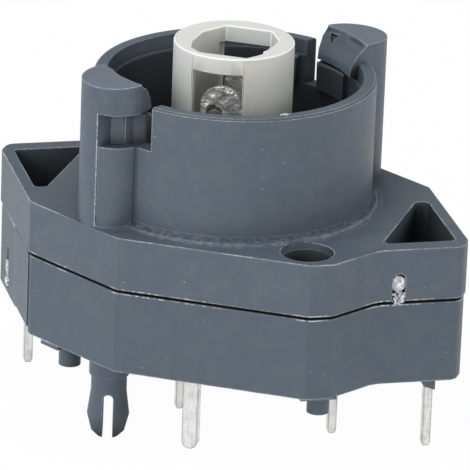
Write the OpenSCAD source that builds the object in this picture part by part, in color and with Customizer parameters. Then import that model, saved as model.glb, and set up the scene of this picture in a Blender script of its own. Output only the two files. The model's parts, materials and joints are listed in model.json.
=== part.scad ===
// Board-mounted contact block with lamp holder for an illuminated push button.
// Origin: on the collar axis, in the plane of the circuit board's top face.
// The block is laid out with half-turn symmetry on a 30 degree grid of directions.

/* [Housing] */
// Distance from the axis to the wing tip faces
tip_reach = 15.95; // [14:0.05:20]
// Distance from the axis to the long wing edges
wing_reach = 13.6; // [12:0.05:18]
// Distance from the axis to the shoulder edge under each tower
shoulder_reach = 13.55; // [13.2:0.05:16]
// Distance from the axis to the flank edge in front of the collar
flank_reach = 12.6; // [12:0.05:16]
// Distance from the axis to the short apex edge
apex_reach = 16; // [14:0.05:20]
// Distance from the axis to the cheek edge beside the apex
cheek_reach = 16.05; // [14:0.05:20]
// Height of the standoffs between board and base
standoff_h = 2.6; // [1:0.1:6]
// Height of the lower housing
base_h = 6.6; // [6.3:0.1:8.5]
// Height of the upper housing's side wall
cover_h = 4.45; // [4.35:0.05:6]
// Side wall thickness
wall = 1.2; // [0.9:0.05:1.3]
// Top plate thickness
plate_t = 1.35; // [1:0.05:1.6]
// Floor thickness of the base
floor_t = 1.3; // [1.1:0.05:1.3]
// Height of the shadow groove between base and cover
groove_h = 0.18; // [0.05:0.01:0.3]

/* [Collar] */
// Outer diameter of the collar
collar_d = 22; // [21.6:0.1:22.4]
// Height of the collar above the top plate
collar_h = 10.15; // [8:0.05:14]
// Bore diameter of the collar
bore_d = 19.4; // [19:0.1:19.8]
// Diameter of the recess inside the collar's rim
rim_d = 20; // [19.6:0.1:20.4]
// Depth of the recess inside the collar's rim
rim_depth = 1.2; // [0.5:0.1:3]
// Depth of the round recess beside the apex
peg_hole_depth = 2.6; // [1:0.1:3]

/* [Latch towers] */
// Radius of the tower column
tower_r = 2.72; // [2.3:0.02:2.8]
// Height of the tower ridge above the collar rim
ridge_rise = 1.45; // [0.5:0.05:3]
// Height of the window sill below the collar rim
sill_drop = 3.55; // [2.5:0.05:5]
// Height of the window under the hook
window_h = 2.65; // [2:0.05:3.5]
// Width of the open slot between hook and collar
slot_w = 1.45; // [1:0.05:2]

/* [Lamp holder] */
// Outer diameter of the lamp holder tube
holder_d = 9.43; // [9:0.02:9.5]
// Height of the tube above the collar rim
holder_rise = 2.65; // [0:0.05:5]
// Width of the windows in the tube
holder_window_w = 4; // [3.6:0.1:4.2]
// Height of the band above the windows
holder_band = 1.35; // [0.8:0.05:2.5]

/* [Plunger and contacts] */
// Travel of the plunger
travel = 2.2; // [1.8:0.1:2.2]
// Radial running fit of the plunger
run_fit = 0.08; // [0.03:0.01:0.1]
// Distance between the two contact points of a bridge
bridge_span = 6.2; // [6:0.1:6.4]
// Wire thickness of the return spring
wire_d = 0.5; // [0.4:0.05:0.6]

/* [Terminals] */
// Thickness of the contact strips
strip_t = 0.46; // [0.4:0.02:0.5]
// Width of a switching terminal pin
pin_w = 0.72; // [0.6:0.02:1]
// Thickness of a switching terminal pin
pin_t = 0.6; // [0.5:0.02:0.7]
// Width of a lamp terminal pin
lamp_pin_w = 1.26; // [1.1:0.02:1.4]
// Length of the pins below the board plane
pin_drop = 4; // [2.5:0.1:5]

/* [Board fixings] */
// Diameter of the snap peg shaft
peg_d = 2.8; // [2.4:0.05:3]
// Board thickness gripped by the snap pegs
board_t = 1.6; // [1:0.1:2]
// Diameter of the standoffs
standoff_d = 1.75; // [1.4:0.05:2.2]

/* [Hidden] */
$fn = 96;
base_z = standoff_h;
floor_z = base_z + floor_t;
split_z = base_z + base_h;
plate_z = split_z + cover_h;
ceiling_z = plate_z - plate_t;
rim_z = plate_z + collar_h;
ridge_z = rim_z + ridge_rise;
sill_z = rim_z - sill_drop;
hook_z = sill_z + window_h;
holder_z = rim_z + holder_rise;
band_z = holder_z - holder_band;
collar_r = collar_d / 2;
bore_r = bore_d / 2;
rim_r = rim_d / 2;
holder_r = holder_d / 2;
edge_soft = 1.0;
bend_soft = 3.0;

// Housing outline: each edge is a direction of its outward normal and a reach from the axis.
tip = [0, tip_reach];
shoulder = [30, shoulder_reach];
flank = [60, flank_reach];
apex = [90, apex_reach];
cheek = [120, cheek_reach];
wing = [90, wing_reach];
corner = [150, tip_reach * cos(30) + wing_reach * sin(30) - 0.64];
far_tip = [180, tip_reach];
far_span = 60;
nose_half = 0.6;

// Where flank and cheek would meet beyond the apex, and where tip and shoulder meet.
nose = meet(flank, cheek);
tip_top = meet(tip, shoulder);

// Tower frame: x points outward from the axis, y runs counter-clockwise.
tower_turn = 210;
tower_x = 10.82;
tower_y = -1.86;
hook_end_y = 0.3;
hook_in_r = 9.1;
hook_lean = 17.8;
lobe_step = 0.14;
rim_edge = 0.15;
ridge_r = 10.7;
lead_in = [[ridge_r, 0.15], [9.9, 0.62], [9.3, 1.55], [hook_in_r, 2.6]];
head_fall = 3;
dimple = [0.75, -0.3, 0.68];
column_y = -1.08;
slot_y = hook_end_y + slot_w + 0.4;
back_wall = [[12, column_y - 0.2], [12, column_y + 0.06], [11.36, -0.43], [11.4, -0.15],
             [10.72, -0.11], [10.6, -0.17], [9.5, 0.68], [9, 0.3], [9, column_y - 0.2]];
tongue_top = hook_z - 0.35;

// Pockets: right triangles in the wing plates.
pocket_x = tip_reach - 0.95;
pocket_y = wing_reach - 1.4;
pocket_reach = 13.95;
pocket_end_y = -3.6;
pocket_soft = 0.5;
pocket_floor = ceiling_z - 1.9;
pocket_skin = 0.8;

// Round recess beside the apex.
hole_side = 0.52;
hole_in = 2.89;
hole_point_in = 3.43;
hole_x = -nose[0] - hole_side;
hole_y = -min(nose[1] - hole_point_in, apex_reach - hole_in);
hole_r = 2.06;

// Skirts of the cover over the base's wing tips.
skirt_t = 0.95;
skirt_gap = 0.05;
skirt_end_in = 0.42;
skirt_far_in = 7.5;
skirt_end_y = tip_top[1] - skirt_end_in;
skirt_far_y = -wing_reach + skirt_far_in;
skirt_z = base_z + 0.42;
tip_step = 0.12;

// Contact bridge positions: the set on the left; the right one is its half turn.
bridge_y = 1.6;
bridge_w = 2;
bridge_t = 0.4;
button_r = 0.7;
button_t = 0.25;
common_y = bridge_y - bridge_span / 2;
throw_y = bridge_y + bridge_span / 2;
clip_y = common_y - 1.56;
bridge_in = 4.65;
bridge_slack = 0.1;
shoulder_limit = (shoulder_reach - wall + clip_y * sin(30)) / cos(30) - bridge_w / 2 - bridge_slack;
bridge_x = -min(tip_reach - bridge_in, shoulder_limit);
upper_strip_z = split_z - 0.6;
upper_face_z = upper_strip_z - button_t;
bridge_z = upper_face_z - button_t - bridge_t;
overtravel = 0.3;
land_gap = 0.04;
lower_face_z = bridge_z - button_t - travel + overtravel - land_gap;
lower_strip_z = lower_face_z - button_t - strip_t;
groove_z = floor_z - strip_t - 0.1;

// Terminal pins on the board, one of each pair.
pin_tip_in = 2.19;
pin_wing_in = 2.96;
pin_throw_up = [-tip_reach + pin_tip_in, wing_reach - pin_wing_in];
pin_throw_low = [-7.04, 7.17];
pin_common = [-3.83, -0.93];
lamp_turn = 240;
pin_lamp_x = 10.15;
pin_lamp_y = 0.4;
lamp_pin_up = 0.18;
tab_front_x = 3.55;
tab_back_x = 2.85;
tab_w = 3.4;
tab_t = 0.4;
tab_top_z = rim_z;
rivet_z = rim_z - 2.5;
foot_w = 2;
way_z = base_z + 0.6;
throw_up_turn = 23;
common_pin_w = 0.66;
common_pin_up = 0.14;
pin_point_h = 0.3;
pin_point_in = 0.13;
foot_over = 0.4;
common_foot = [bridge_x, common_y - 1.33];
fit_gap = 0.03;

// Board fixings.
peg_in = 5.53;
peg_pos = [-tip_reach + peg_in, -4.8];
standoff_in = [3.4, 1.1, 4.34];
standoff_pos = [[-tip_reach + standoff_in[0], 0.1],
                [-nose[0] + standoff_in[1], -nose[1] + standoff_in[2]]];
pad_w = 0.95;
pad_in = 0.5;
pad_from = 1.6;
pad_len = 2;
pad_y = tip_top[1] * cos(30) - tip_top[0] * sin(30) + pad_from;
front_pad = [2.9, 2.85];
front_pad_in = 0.25;
front_pad_side = 0.2;
peg_slot_w = 0.8;
barb_r = 1.66;
peg_tip_z = -board_t - 2.5;
peg_slot_top = peg_tip_z + 3.41;
peg_collar_z = base_z - 1.5;
peg_flare_z = -0.3;
barb_z = -board_t - 0.65;
peg_round_z = peg_tip_z + 0.48;
boss = [3.25, 2.35, 0.57, 0.9];
peg_turn = -14;

// Plugs of clear plastic melted into slots, which lock cover and base together.
plug_in = 5.75;
plug_x = tip_reach - plug_in;
plug_r = 0.44;
plug_depth = 0.5;
plug_h = 1.95;
tip_plug_in = 4.2;
tip_plug_y = -wing_reach + tip_plug_in;
tip_plug_h = 3.4;
tip_plug_half = [0.5, 0.18];

// Plunger.
hub_r = bore_r - run_fit;
hub_bore = holder_r + run_fit;
tube_off = [0.06, -0.21, 0];
hub_top = plate_z + 2.05;
hub_low = ceiling_z - 1.6;
skirt_low = floor_z + 1.2 + travel + 0.5;
arm_wall = 0.75;
arm_x0 = bridge_x - bridge_w / 2 - 0.1 - arm_wall;
arm_x1 = bridge_x + bridge_w / 2 + 0.1 + arm_wall;
arm_half = 1.6;
arm_low = bridge_z - 1.1;
bay_top = ceiling_z - 1;
seat_z = floor_z + 1.2;
holder_floor_z = floor_z + 1.8;
flange_r = 6.6;
spigot_r = 2.2;
coil_r = 6.1;
coil_turns = 4;
coil_steps = 4;
coil_fn = 8;

// Crossing point of two edges given as normal direction and reach.
function meet(p, q) = let (a = p[0], b = q[0], s = sin(b - a))
  [(p[1] * sin(b) - q[1] * sin(a)) / s, (q[1] * cos(a) - p[1] * cos(b)) / s];

// How far a plan point lies outside an edge.
function beyond(p, e) = p[0] * cos(e[0]) + p[1] * sin(e[0]) - e[1];

// A short edge that takes the sharpness off the corner of two edges.
function blunt(p, q, soft) = let (m = (p[0] + q[0]) / 2, cut = soft * (1 / cos((q[0] - p[0]) / 2) - 1))
  [m, -cut + beyond(meet(p, q), [m, 0])];

// The part of a plan polygon inside one edge, then inside a list of edges.
function trim(pts, e) = [for (i = [0 : len(pts) - 1])
  let (p = pts[i], q = pts[(i + 1) % len(pts)], a = beyond(p, e), b = beyond(q, e))
  each concat(a <= 0 ? [p] : [], a * b < 0 ? [p + (q - p) * a / (a - b)] : [])];

function trim_all(pts, es, i = 0) = i == len(es) ? pts : trim_all(trim(pts, es[i]), es, i + 1);

// An edge drawn in by k; the wing tips and their corners are drawn in further by t.
function drawn_in(e, k, t) = [e[0], e[1] - k - t * (e[0] % 180 == 0 ? 1 : (e[0] == 150 ? cos(30) : 0))];

// A chain of edges with blunted corners, and the same chain turned half round.
function blunted(es, soft) = [for (i = [0 : len(es) - 1])
  each concat([es[i]], i < len(es) - 1 ? [blunt(es[i], es[i + 1], soft)] : [])];

function both_halves(es) = concat(es, [for (e = es) [e[0] + 180, e[1]]]);

module inside(es) {
  far = [[-far_span, -far_span], [far_span, -far_span], [far_span, far_span], [-far_span, far_span]];
  polygon(trim_all(far, es));
}

module convex(es, k, t) {
  inside(both_halves(blunted([for (e = es) drawn_in(e, k, t)], edge_soft)));
}

// Fill that softens the inner bend between cheek and wing.
module bend_fill(k) {
  a = drawn_in(cheek, k, 0);
  b = drawn_in(wing, k, 0);
  m = (a[0] + b[0]) / 2;
  v = meet(a, b);
  line = [m, beyond(v, [m, 0]) + bend_soft * (1 / cos(m - b[0]) - 1)];
  polygon([meet(a, line), meet(line, b), v - 2 * [cos(m), sin(m)]]);
}

// Land at the apex that keeps its width however far the apex stands out.
module nose_land(k) {
  w = nose_half - k;
  if (w > 0) translate([nose[0] - w, 0]) square([2 * w, apex_reach - k]);
}

// The housing in plan, drawn in by k: a nosed shape joined with a winged shape.
module outline(k = 0, t = 0) {
  convex([tip, shoulder, flank, apex, cheek], k, t);
  convex([tip, shoulder, flank, wing, corner, far_tip], k, t);
  pair() {
    bend_fill(k);
    nose_land(k);
  }
}

module slab(z0, z1, k = 0, t = 0) {
  translate([0, 0, z0]) linear_extrude(z1 - z0) outline(k, t);
}

module pair() {
  for (a = [0, 180]) rotate(a) children();
}

module box(x0, x1, y0, y1, z0, z1) {
  translate([x0, y0, z0]) cube([x1 - x0, y1 - y0, z1 - z0]);
}

module disc(x, y, r, z0, z1) {
  translate([x, y, z0]) cylinder(r = r, h = z1 - z0);
}

// Flat bar between two plan points.
module bar(p, q, w, z0, z1, over = 0) {
  d = q - p;
  run = norm(d);
  translate([p[0], p[1], z0]) rotate(atan2(d[1], d[0]))
    translate([-over, -w / 2, 0]) cube([run + 2 * over, w, z1 - z0]);
}

// Wing pocket as a right triangle with one end cut off, grown outward by a skin.
module pocket(grow, z0, z1) {
  edges = [[0, pocket_x + grow], [90, pocket_end_y + grow], [150, -pocket_reach + grow],
           [270, pocket_y + grow], [360, pocket_x + grow]];
  translate([0, 0, z0]) linear_extrude(z1 - z0) inside(blunted(edges, pocket_soft));
}

// Bore of the hook round the collar axis: a rounded lead-in below a low step.
module hook_bore() {
  for (i = [1 : len(lead_in) - 1])
    cone(lead_in[i - 1][0], lead_in[i][0], ridge_z - lead_in[i - 1][1], ridge_z - lead_in[i][1]);
  disc(0, 0, hook_in_r, hook_z - 1, hook_z);
  disc(0, 0, ridge_r, ridge_z - lead_in[0][1] - 0.01, ridge_z + 1);
}

module column(r, z0, z1) {
  disc(tower_x, tower_y, r, z0, z1);
}

// The hook's end face leans a little off the radial direction.
module hook_end_cut() {
  translate([hook_in_r, hook_end_y, hook_z - 1]) rotate(hook_lean)
    translate([-2, 0, 0]) cube([8, 4, 6]);
}

// Small triangular recess in the hook's lead-in slope.
module hook_dimple() {
  translate([hook_in_r + dimple[0], dimple[1], ridge_z - dimple[2]])
    rotate([0, -45, 0]) linear_extrude(0.7, center = true)
      polygon([[-0.4, -0.35], [0.55, 0.4], [0.55, -0.55]]);
}

// The head's top falls a little from the ridge to the outside.
module head_top_cut() {
  translate([ridge_r, -10, ridge_z]) rotate([0, head_fall, 0]) cube([8, 20, 2]);
}

// Head of a latch tower, reaching over the window as a hook.
module hook() {
  difference() {
    union() {
      column(tower_r, hook_z, ridge_z);
      box(hook_in_r - 1.5, tower_x, tower_y - tower_r, hook_end_y + 1, hook_z, ridge_z);
    }
    hook_bore();
    hook_end_cut();
    hook_dimple();
    head_top_cut();
  }
}

// Shaft of a latch tower; the lobe under the window stands a little behind it.
module tower_shaft() {
  difference() {
    column(tower_r, ceiling_z + 0.4, hook_z);
    difference() {
      box(tower_x - 0.2, 15, column_y, 3, plate_z + 0.2, hook_z + 1);
      column(tower_r - lobe_step, plate_z, hook_z + 2);
    }
  }
  box(9.9, tower_x, tower_y - tower_r, column_y, ceiling_z + 0.4, hook_z);
}

// Space under and beside the hook, with the thin wall behind it left standing.
module window_cut() {
  difference() {
    box(8.6, 15, column_y, slot_y, sill_z, rim_z + 0.5);
    translate([0, 0, sill_z - 1]) linear_extrude(hook_z - sill_z + 1) polygon(back_wall);
  }
}

module collar() {
  disc(0, 0, collar_r, ceiling_z + 0.2, rim_z - rim_edge);
  translate([0, 0, rim_z - rim_edge]) cylinder(r1 = collar_r, r2 = collar_r - rim_edge, h = rim_edge);
  translate([0, 0, plate_z - 0.1]) cylinder(r1 = collar_r + 0.55, r2 = collar_r + 0.4, h = 0.32);
}

module collar_bore() {
  disc(0, 0, bore_r, ceiling_z - 5, rim_z + 1);
  disc(0, 0, rim_r, rim_z - rim_depth, rim_z + 1);
}

// Thin tongue inside the collar behind the window, and the guide rib beside it.
module inner_tongue() {
  difference() {
    intersection() {
      disc(0, 0, bore_r + 0.05, sill_z, tongue_top);
      union() {
        box(8, 11, tower_y - 1.1, slot_y - 1.65, sill_z, tongue_top);
        box(8, 11, slot_y + 0.35, slot_y + 1.05, sill_z + 0.1, tongue_top);
      }
    }
    disc(0, 0, bore_r - 0.4, sill_z - 1, tongue_top + 1);
  }
}

// Hollow of the cover under its top plate, keeping pocket skins and the recess boss.
module cover_hollow() {
  difference() {
    slab(split_z - 1, ceiling_z, wall);
    pair() {
      pocket(pocket_skin, pocket_floor - pocket_skin, plate_z);
      disc(hole_x, hole_y, hole_r + 0.9, plate_z - peg_hole_depth - 0.8, plate_z);
    }
  }
}

module skirt() {
  intersection() {
    slab(skirt_z, split_z + 0.2);
    box(tip_reach - skirt_t, tip_reach + 1, skirt_far_y, skirt_end_y, skirt_z - 1, split_z + 1);
  }
}

// Upright slot with a round top in a wing's long side, seat of a lock plug.
module plug_slot(grow, z0) {
  box(plug_x - plug_r - grow, plug_x + plug_r + grow, -wing_reach - 1,
      -wing_reach + plug_depth + grow, z0, split_z + plug_h);
  translate([plug_x, -wing_reach + plug_depth + grow, split_z + plug_h])
    rotate([90, 0, 0]) cylinder(r = plug_r + grow, h = 2);
}

// Slot in a wing's tip face that narrows upward, seat of the second melted plug.
module tip_slot(grow, depth) {
  low = tip_plug_half[0] + grow;
  high = tip_plug_half[1] + grow;
  translate([tip_reach - 0.5, tip_plug_y, skirt_z]) rotate([90, 0, 90]) linear_extrude(depth)
    polygon([[-low, 0], [low, 0], [high, tip_plug_h + grow], [-high, tip_plug_h + grow]]);
}

module shadow_groove() {
  difference() {
    slab(split_z - 1, split_z + groove_h, -1);
    slab(split_z - 2, split_z + 1, 0.45);
    pair() box(tip_reach - skirt_t - 0.4, tip_reach + 2, skirt_far_y - 0.05, skirt_end_y + 0.05,
               split_z - 3, split_z + 1);
  }
}

module cover() {
  color("DimGray") {
    difference() {
      union() {
        slab(split_z, plate_z);
        collar();
        pair() skirt();
        rotate(tower_turn) pair() tower_shaft();
      }
      collar_bore();
      cover_hollow();
      rotate(tower_turn) pair() window_cut();
      pair() {
        pocket(0, pocket_floor, plate_z + 1);
        disc(hole_x, hole_y, hole_r, plate_z - 0.5, plate_z + 1);
        disc(hole_x, hole_y, hole_r - 0.18, plate_z - peg_hole_depth, plate_z);
        plug_slot(0.06, split_z - 1);
      }
      shadow_groove();
    }
    rotate(tower_turn) pair() {
      hook();
      inner_tongue();
    }
  }
}

// Split snap peg that grips the board from above.
module snap_peg() {
  shaft_r = peg_d / 2;
  translate([peg_pos[0], peg_pos[1], 0]) rotate(peg_turn) difference() {
    union() {
      disc(0, 0, shaft_r, peg_flare_z - 0.01, base_z + 0.3);
      disc(0, 0, shaft_r + 0.18, peg_collar_z, base_z + 0.3);
      cone(shaft_r, barb_r, peg_flare_z, barb_z);
      cone(barb_r, barb_r - 0.34, barb_z, peg_round_z);
      cone(barb_r - 0.34, barb_r - 0.8, peg_round_z, peg_tip_z);
    }
    box(-peg_slot_w / 2, peg_slot_w / 2, -3, 3, peg_tip_z - 1, peg_slot_top);
    translate([0, 0, peg_slot_top]) rotate([90, 0, 0])
      cylinder(r = peg_slot_w / 2, h = 6, center = true);
  }
}

// Cone between an upper and a lower radius.
module cone(r_up, r_low, z_up, z_low) {
  translate([0, 0, z_low]) cylinder(r1 = r_low, r2 = r_up, h = z_up - z_low);
}

// Everything that stands below the floor: standoffs, pads and pin bosses.
module underside() {
  for (p = standoff_pos) disc(p[0], p[1], standoff_d / 2, 0, base_z + 0.3);
  snap_peg();
  rotate(tower_turn) translate([shoulder_reach - pad_in, 0, 0])
    box(-pad_w / 2, pad_w / 2, pad_y, pad_y + pad_len, base_z - 0.38, base_z + 0.3);
  translate([-nose[0] - front_pad[0] / 2 + front_pad_side, -apex_reach + front_pad_in, base_z - 0.2])
    cube([front_pad[0], front_pad[1], 0.5]);
  translate([tip_reach, -wing_reach + 1.4, base_z]) rotate([90, 0, 0]) linear_extrude(1.1)
    polygon([[-boss[0], 0.3], [-boss[0], -boss[2]], [-boss[1], -boss[3]], [-boss[1], 0.3]]);
}

// Shoulder blocks and posts on the base floor that carry the contact strips.
module strip_supports() {
  box(bridge_x - 0.9, bridge_x + 0.9, common_y - 1.05, common_y + 0.8, floor_z - 0.2, lower_strip_z);
  box(bridge_x - 0.9, bridge_x + 0.9, throw_y - 0.8, throw_y + 0.9, floor_z - 0.2, lower_strip_z);
  translate(pin_throw_up) box(0.44, 1.64, -3.24, -1.84, floor_z - 0.2, upper_strip_z);
  translate(pin_throw_low) box(-1.65, -0.65, -1.47, -0.47, floor_z - 0.2, lower_strip_z);
}

// Ways cut in the base floor and walls for one half's terminals.
module terminal_ways(g) {
  upright(pin_throw_up, 1.6 + 2 * g, strip_t + 2 * g, way_z, split_z + 1, throw_up_turn);
  upright(pin_throw_low, 1.6 + 2 * g, strip_t + 2 * g, way_z, lower_strip_z, 0);
  for (p = [pin_throw_up, pin_throw_low])
    upright(p, pin_w + 2 * g, pin_t + 2 * g, 0, way_z + 1, 0);
  upright(pin_common, common_pin_w + 2 * g, pin_t + 2 * g, 0, groove_z + 0.3, 0);
  bar(pin_common, common_foot, 1.4 + 2 * g, groove_z, floor_z + 1, foot_over + g);
  bar(pin_throw_up, [bridge_x, throw_y], 1.5 + 2 * g, upper_strip_z, split_z + 1);
  box(bridge_x - 0.8 - g, bridge_x + 0.8 + g, clip_y - g, clip_y + 0.46 + g,
      groove_z, split_z);
}

// Way in the base floor for the lamp contact whose tab stands at x.
module lamp_way(x, g) {
  box(x - tab_t / 2 - g, x + tab_t / 2 + g, -foot_w / 2 - g, foot_w / 2 + g, groove_z, floor_z + 1);
  box(x - tab_t / 2 - g, pin_lamp_x + 0.4 + g, pin_lamp_y - 0.8 - g, pin_lamp_y + 0.8 + g,
      groove_z, floor_z + 1);
  box(pin_lamp_x - 0.4 - g, pin_lamp_x + 0.4 + g, pin_lamp_y - lamp_pin_w / 2 - g,
      pin_lamp_y + lamp_pin_w / 2 + g, 0, floor_z + 1);
}

module upright(p, w, t, z0, z1, a) {
  translate([p[0], p[1], z0]) rotate(a) translate([-w / 2, -t / 2, 0]) cube([w, t, z1 - z0]);
}

// Flat board pin with a narrowed tip.
module pin(p, w, t, z1, up = 0) {
  z0 = -pin_drop + up;
  half = w / 2;
  tip_half = half - pin_point_in;
  translate([p[0], p[1] + t / 2, 0]) rotate([90, 0, 0]) linear_extrude(t)
    polygon([[-tip_half, z0], [tip_half, z0], [half, z0 + pin_point_h], [half, z1], [-half, z1],
             [-half, z0 + pin_point_h]]);
}

module base() {
  color("DimGray") difference() {
    union() {
      difference() {
        slab(base_z, split_z, 0, tip_step);
        slab(floor_z, split_z + 1, wall, 1);
      }
      pair() {
        strip_supports();
        underside();
      }
    }
    pair() {
      box(tip_reach - skirt_t - skirt_gap, tip_reach + 1, skirt_far_y - skirt_gap,
          skirt_end_y + skirt_gap, base_z - 1, split_z + 1);
      terminal_ways(fit_gap);
      tip_slot(0.02, 1.5);
    }
    rotate(lamp_turn) lamp_way(tab_front_x, fit_gap);
    rotate(lamp_turn + 180) lamp_way(tab_back_x, fit_gap);
    disc(0, 0, spigot_r, base_z - 1, floor_z + 1);
  }
}

module lock_plugs() {
  color("White") pair() {
    intersection() {
      plug_slot(0, split_z);
      box(0, 20, -wing_reach + 0.02, 0, split_z, plate_z);
    }
    tip_slot(0, 0.5 - tip_step + 0.04);
  }
}

// Section of the lamp holder's bore; x points to the front window.
module holder_section() {
  polygon([[-3.1, -1.8], [-0.93, -3.07], [1.47, -3.2], [2.9, -2.85], [3.8, -1.85],
           [3.8, 1.85], [2.87, 2.5], [2.3, 2.8], [1.8, 2.65], [1.2, 2.85], [-0.4, 3.02],
           [-1.2, 3.02], [-3.1, 1.9]]);
}

module lamp_holder() {
  color("WhiteSmoke") rotate(lamp_turn) difference() {
    union() {
      translate(tube_off) disc(0, 0, holder_r, floor_z, holder_z);
      disc(0, 0, flange_r, floor_z, seat_z);
      disc(0, 0, spigot_r, base_z + 0.05, floor_z + 0.1);
    }
    translate([0, 0, holder_floor_z]) linear_extrude(holder_z) holder_section();
    translate(tube_off) for (x = [2, -8])
      box(x, x + 6, -holder_window_w / 2, holder_window_w / 2, seat_z + 3, band_z);
    for (x = [tab_front_x, -tab_back_x])
      box(x - tab_t / 2 - 0.03, x + tab_t / 2 + 0.03, -foot_w / 2 - 0.03, foot_w / 2 + 0.03,
          floor_z - 1, holder_floor_z + 1);
  }
}

// Lamp contact: rounded tab in the holder, foot strip in the floor, and board pin.
module lamp_contact(x) {
  pin_round_z = -pin_drop + lamp_pin_up + lamp_pin_w / 2;
  difference() {
    union() {
      box(x - tab_t / 2, x + tab_t / 2, -tab_w / 2, tab_w / 2, holder_floor_z + 1.2,
          tab_top_z - tab_w / 2);
      translate([x - tab_t / 2, 0, tab_top_z - tab_w / 2]) rotate([0, 90, 0])
        cylinder(r = tab_w / 2, h = tab_t);
      box(x - tab_t / 2, x + tab_t / 2, -foot_w / 2, foot_w / 2, groove_z, holder_floor_z + 1.3);
      box(x - tab_t / 2, pin_lamp_x + 0.4, pin_lamp_y - 0.8, pin_lamp_y + 0.8, groove_z,
          groove_z + strip_t);
      box(pin_lamp_x - 0.4, pin_lamp_x + 0.4, pin_lamp_y - lamp_pin_w / 2,
          pin_lamp_y + lamp_pin_w / 2, pin_round_z, groove_z + strip_t);
      translate([pin_lamp_x - 0.4, pin_lamp_y, pin_round_z]) rotate([0, 90, 0])
        cylinder(r = lamp_pin_w / 2, h = 0.8);
    }
    translate([x - 1, -0.5, rivet_z]) rotate([0, 90, 0]) cylinder(r = 0.4, h = 2);
  }
}

module lamp_contact_front() {
  color("Silver") rotate(lamp_turn) lamp_contact(tab_front_x);
}

module lamp_contact_back() {
  color("Silver") rotate(lamp_turn + 180) lamp_contact(tab_back_x);
}

// Spring dimple riveted through a lamp contact tab, touching the lamp base.
module lamp_rivet(x) {
  translate([x - tab_t / 2 - 0.1, -0.5, rivet_z]) rotate([0, 90, 0])
    cylinder(r = 0.4, h = tab_t + 0.15);
  translate([x + tab_t / 2, -0.5, rivet_z]) rotate([0, 90, 0])
    cylinder(r1 = 0.62, r2 = 0.4, h = 0.12);
  translate([x - tab_t / 2 - 0.15, -0.5, rivet_z]) rotate([0, 90, 0])
    cylinder(r1 = 0.45, r2 = 0.7, h = 0.15);
}

module lamp_rivet_front() {
  color("Silver") rotate(lamp_turn) lamp_rivet(tab_front_x);
}

module lamp_rivet_back() {
  color("Silver") rotate(lamp_turn + 180) lamp_rivet(tab_back_x);
}

// The holder's tube stands a little beside the collar axis; the plunger's bore follows it.
module round_holder() {
  rotate(lamp_turn) translate(tube_off) children();
}

// Plunger: a sleeve between holder and collar with one stirrup arm to each wing.
module plunger() {
  color("DarkSlateGray") difference() {
    union() {
      disc(0, 0, hub_r, hub_low, hub_top);
      round_holder() disc(0, 0, hub_bore + 0.6, skirt_low, hub_low + 0.1);
      pair() box(arm_x0, max(arm_x1 + 0.6, -hub_r + 0.8), bridge_y - arm_half,
                 bridge_y + arm_half, arm_low, ceiling_z);
    }
    round_holder() disc(0, 0, hub_bore, skirt_low - 1, hub_top + 1);
    difference() {
      disc(0, 0, hub_r - 1.2, ceiling_z + 0.2, hub_top + 1);
      round_holder() disc(0, 0, hub_bore + 1.4, ceiling_z, hub_top + 2);
      for (a = [15, 75, 135]) rotate(a) box(-10, 10, -0.4, 0.4, ceiling_z, hub_top - 0.6);
    }
    pair() {
      box(bridge_x - bridge_w / 2 - 0.1, bridge_x + bridge_w / 2 + 0.1, bridge_y - 3,
          bridge_y + 3, bridge_z, bay_top);
      box(arm_x1, max(arm_x1, -hub_r) + 1.5, bridge_y - 3, bridge_y + 3, arm_low - 1, hub_low);
    }
  }
  color("DarkSlateGray") pair() disc(bridge_x, bridge_y, 0.42, bay_top - 0.7, bay_top + 0.1);
}

module bridge() {
  box(bridge_x - bridge_w / 2, bridge_x + bridge_w / 2, bridge_y - bridge_span / 2 - 0.8,
      bridge_y + bridge_span / 2 + 0.8, bridge_z, bridge_z + bridge_t);
  disc(bridge_x, bridge_y, 0.42, bridge_z + bridge_t - 0.1, bridge_z + bridge_t + 0.5);
}

module bridge_a() {
  color("Goldenrod") bridge();
}

module bridge_b() {
  color("Goldenrod") rotate(180) bridge();
}

module bridge_buttons() {
  for (y = [common_y, throw_y]) {
    disc(bridge_x, y, button_r, bridge_z - button_t, bridge_z);
    disc(bridge_x, y, button_r, bridge_z + bridge_t, bridge_z + bridge_t + button_t);
  }
}

module bridge_buttons_a() {
  color("Silver") bridge_buttons();
}

module bridge_buttons_b() {
  color("Silver") rotate(180) bridge_buttons();
}

// Horizontal cut of a coiled wire; twisting it upward gives the coil.
module coil(r, wire, z0, z1, turns, steps) {
  rise = (z1 - z0) / turns;
  slope = rise / 360;
  reach = wire / 2 / slope;
  span = min(reach, 170);
  n = coil_steps;
  rim = [for (i = [-n : n]) let (a = span * i / n, h = wire / 2 * sqrt(max(0, 1 - pow(a / reach, 2))))
         [a, max(h, 0.012)]];
  outer = [for (p = rim) [(r + p[1]) * cos(p[0]), (r + p[1]) * sin(p[0])]];
  inner = [for (i = [0 : 2 * n]) let (p = rim[2 * n - i]) [(r - p[1]) * cos(p[0]), (r - p[1]) * sin(p[0])]];
  translate([0, 0, z0]) linear_extrude(z1 - z0, twist = -360 * turns, slices = steps, $fn = coil_fn)
    polygon(concat(outer, inner));
}

module return_spring() {
  color("Silver") coil(coil_r, wire_d, seat_z, hub_low, coil_turns, 64);
}

module bridge_spring() {
  translate([bridge_x, bridge_y, 0])
    coil(0.72, 0.2, bridge_z + bridge_t, bay_top, 5, 50);
}

module bridge_spring_a() {
  color("Silver") bridge_spring();
}

module bridge_spring_b() {
  color("Silver") rotate(180) bridge_spring();
}

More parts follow.
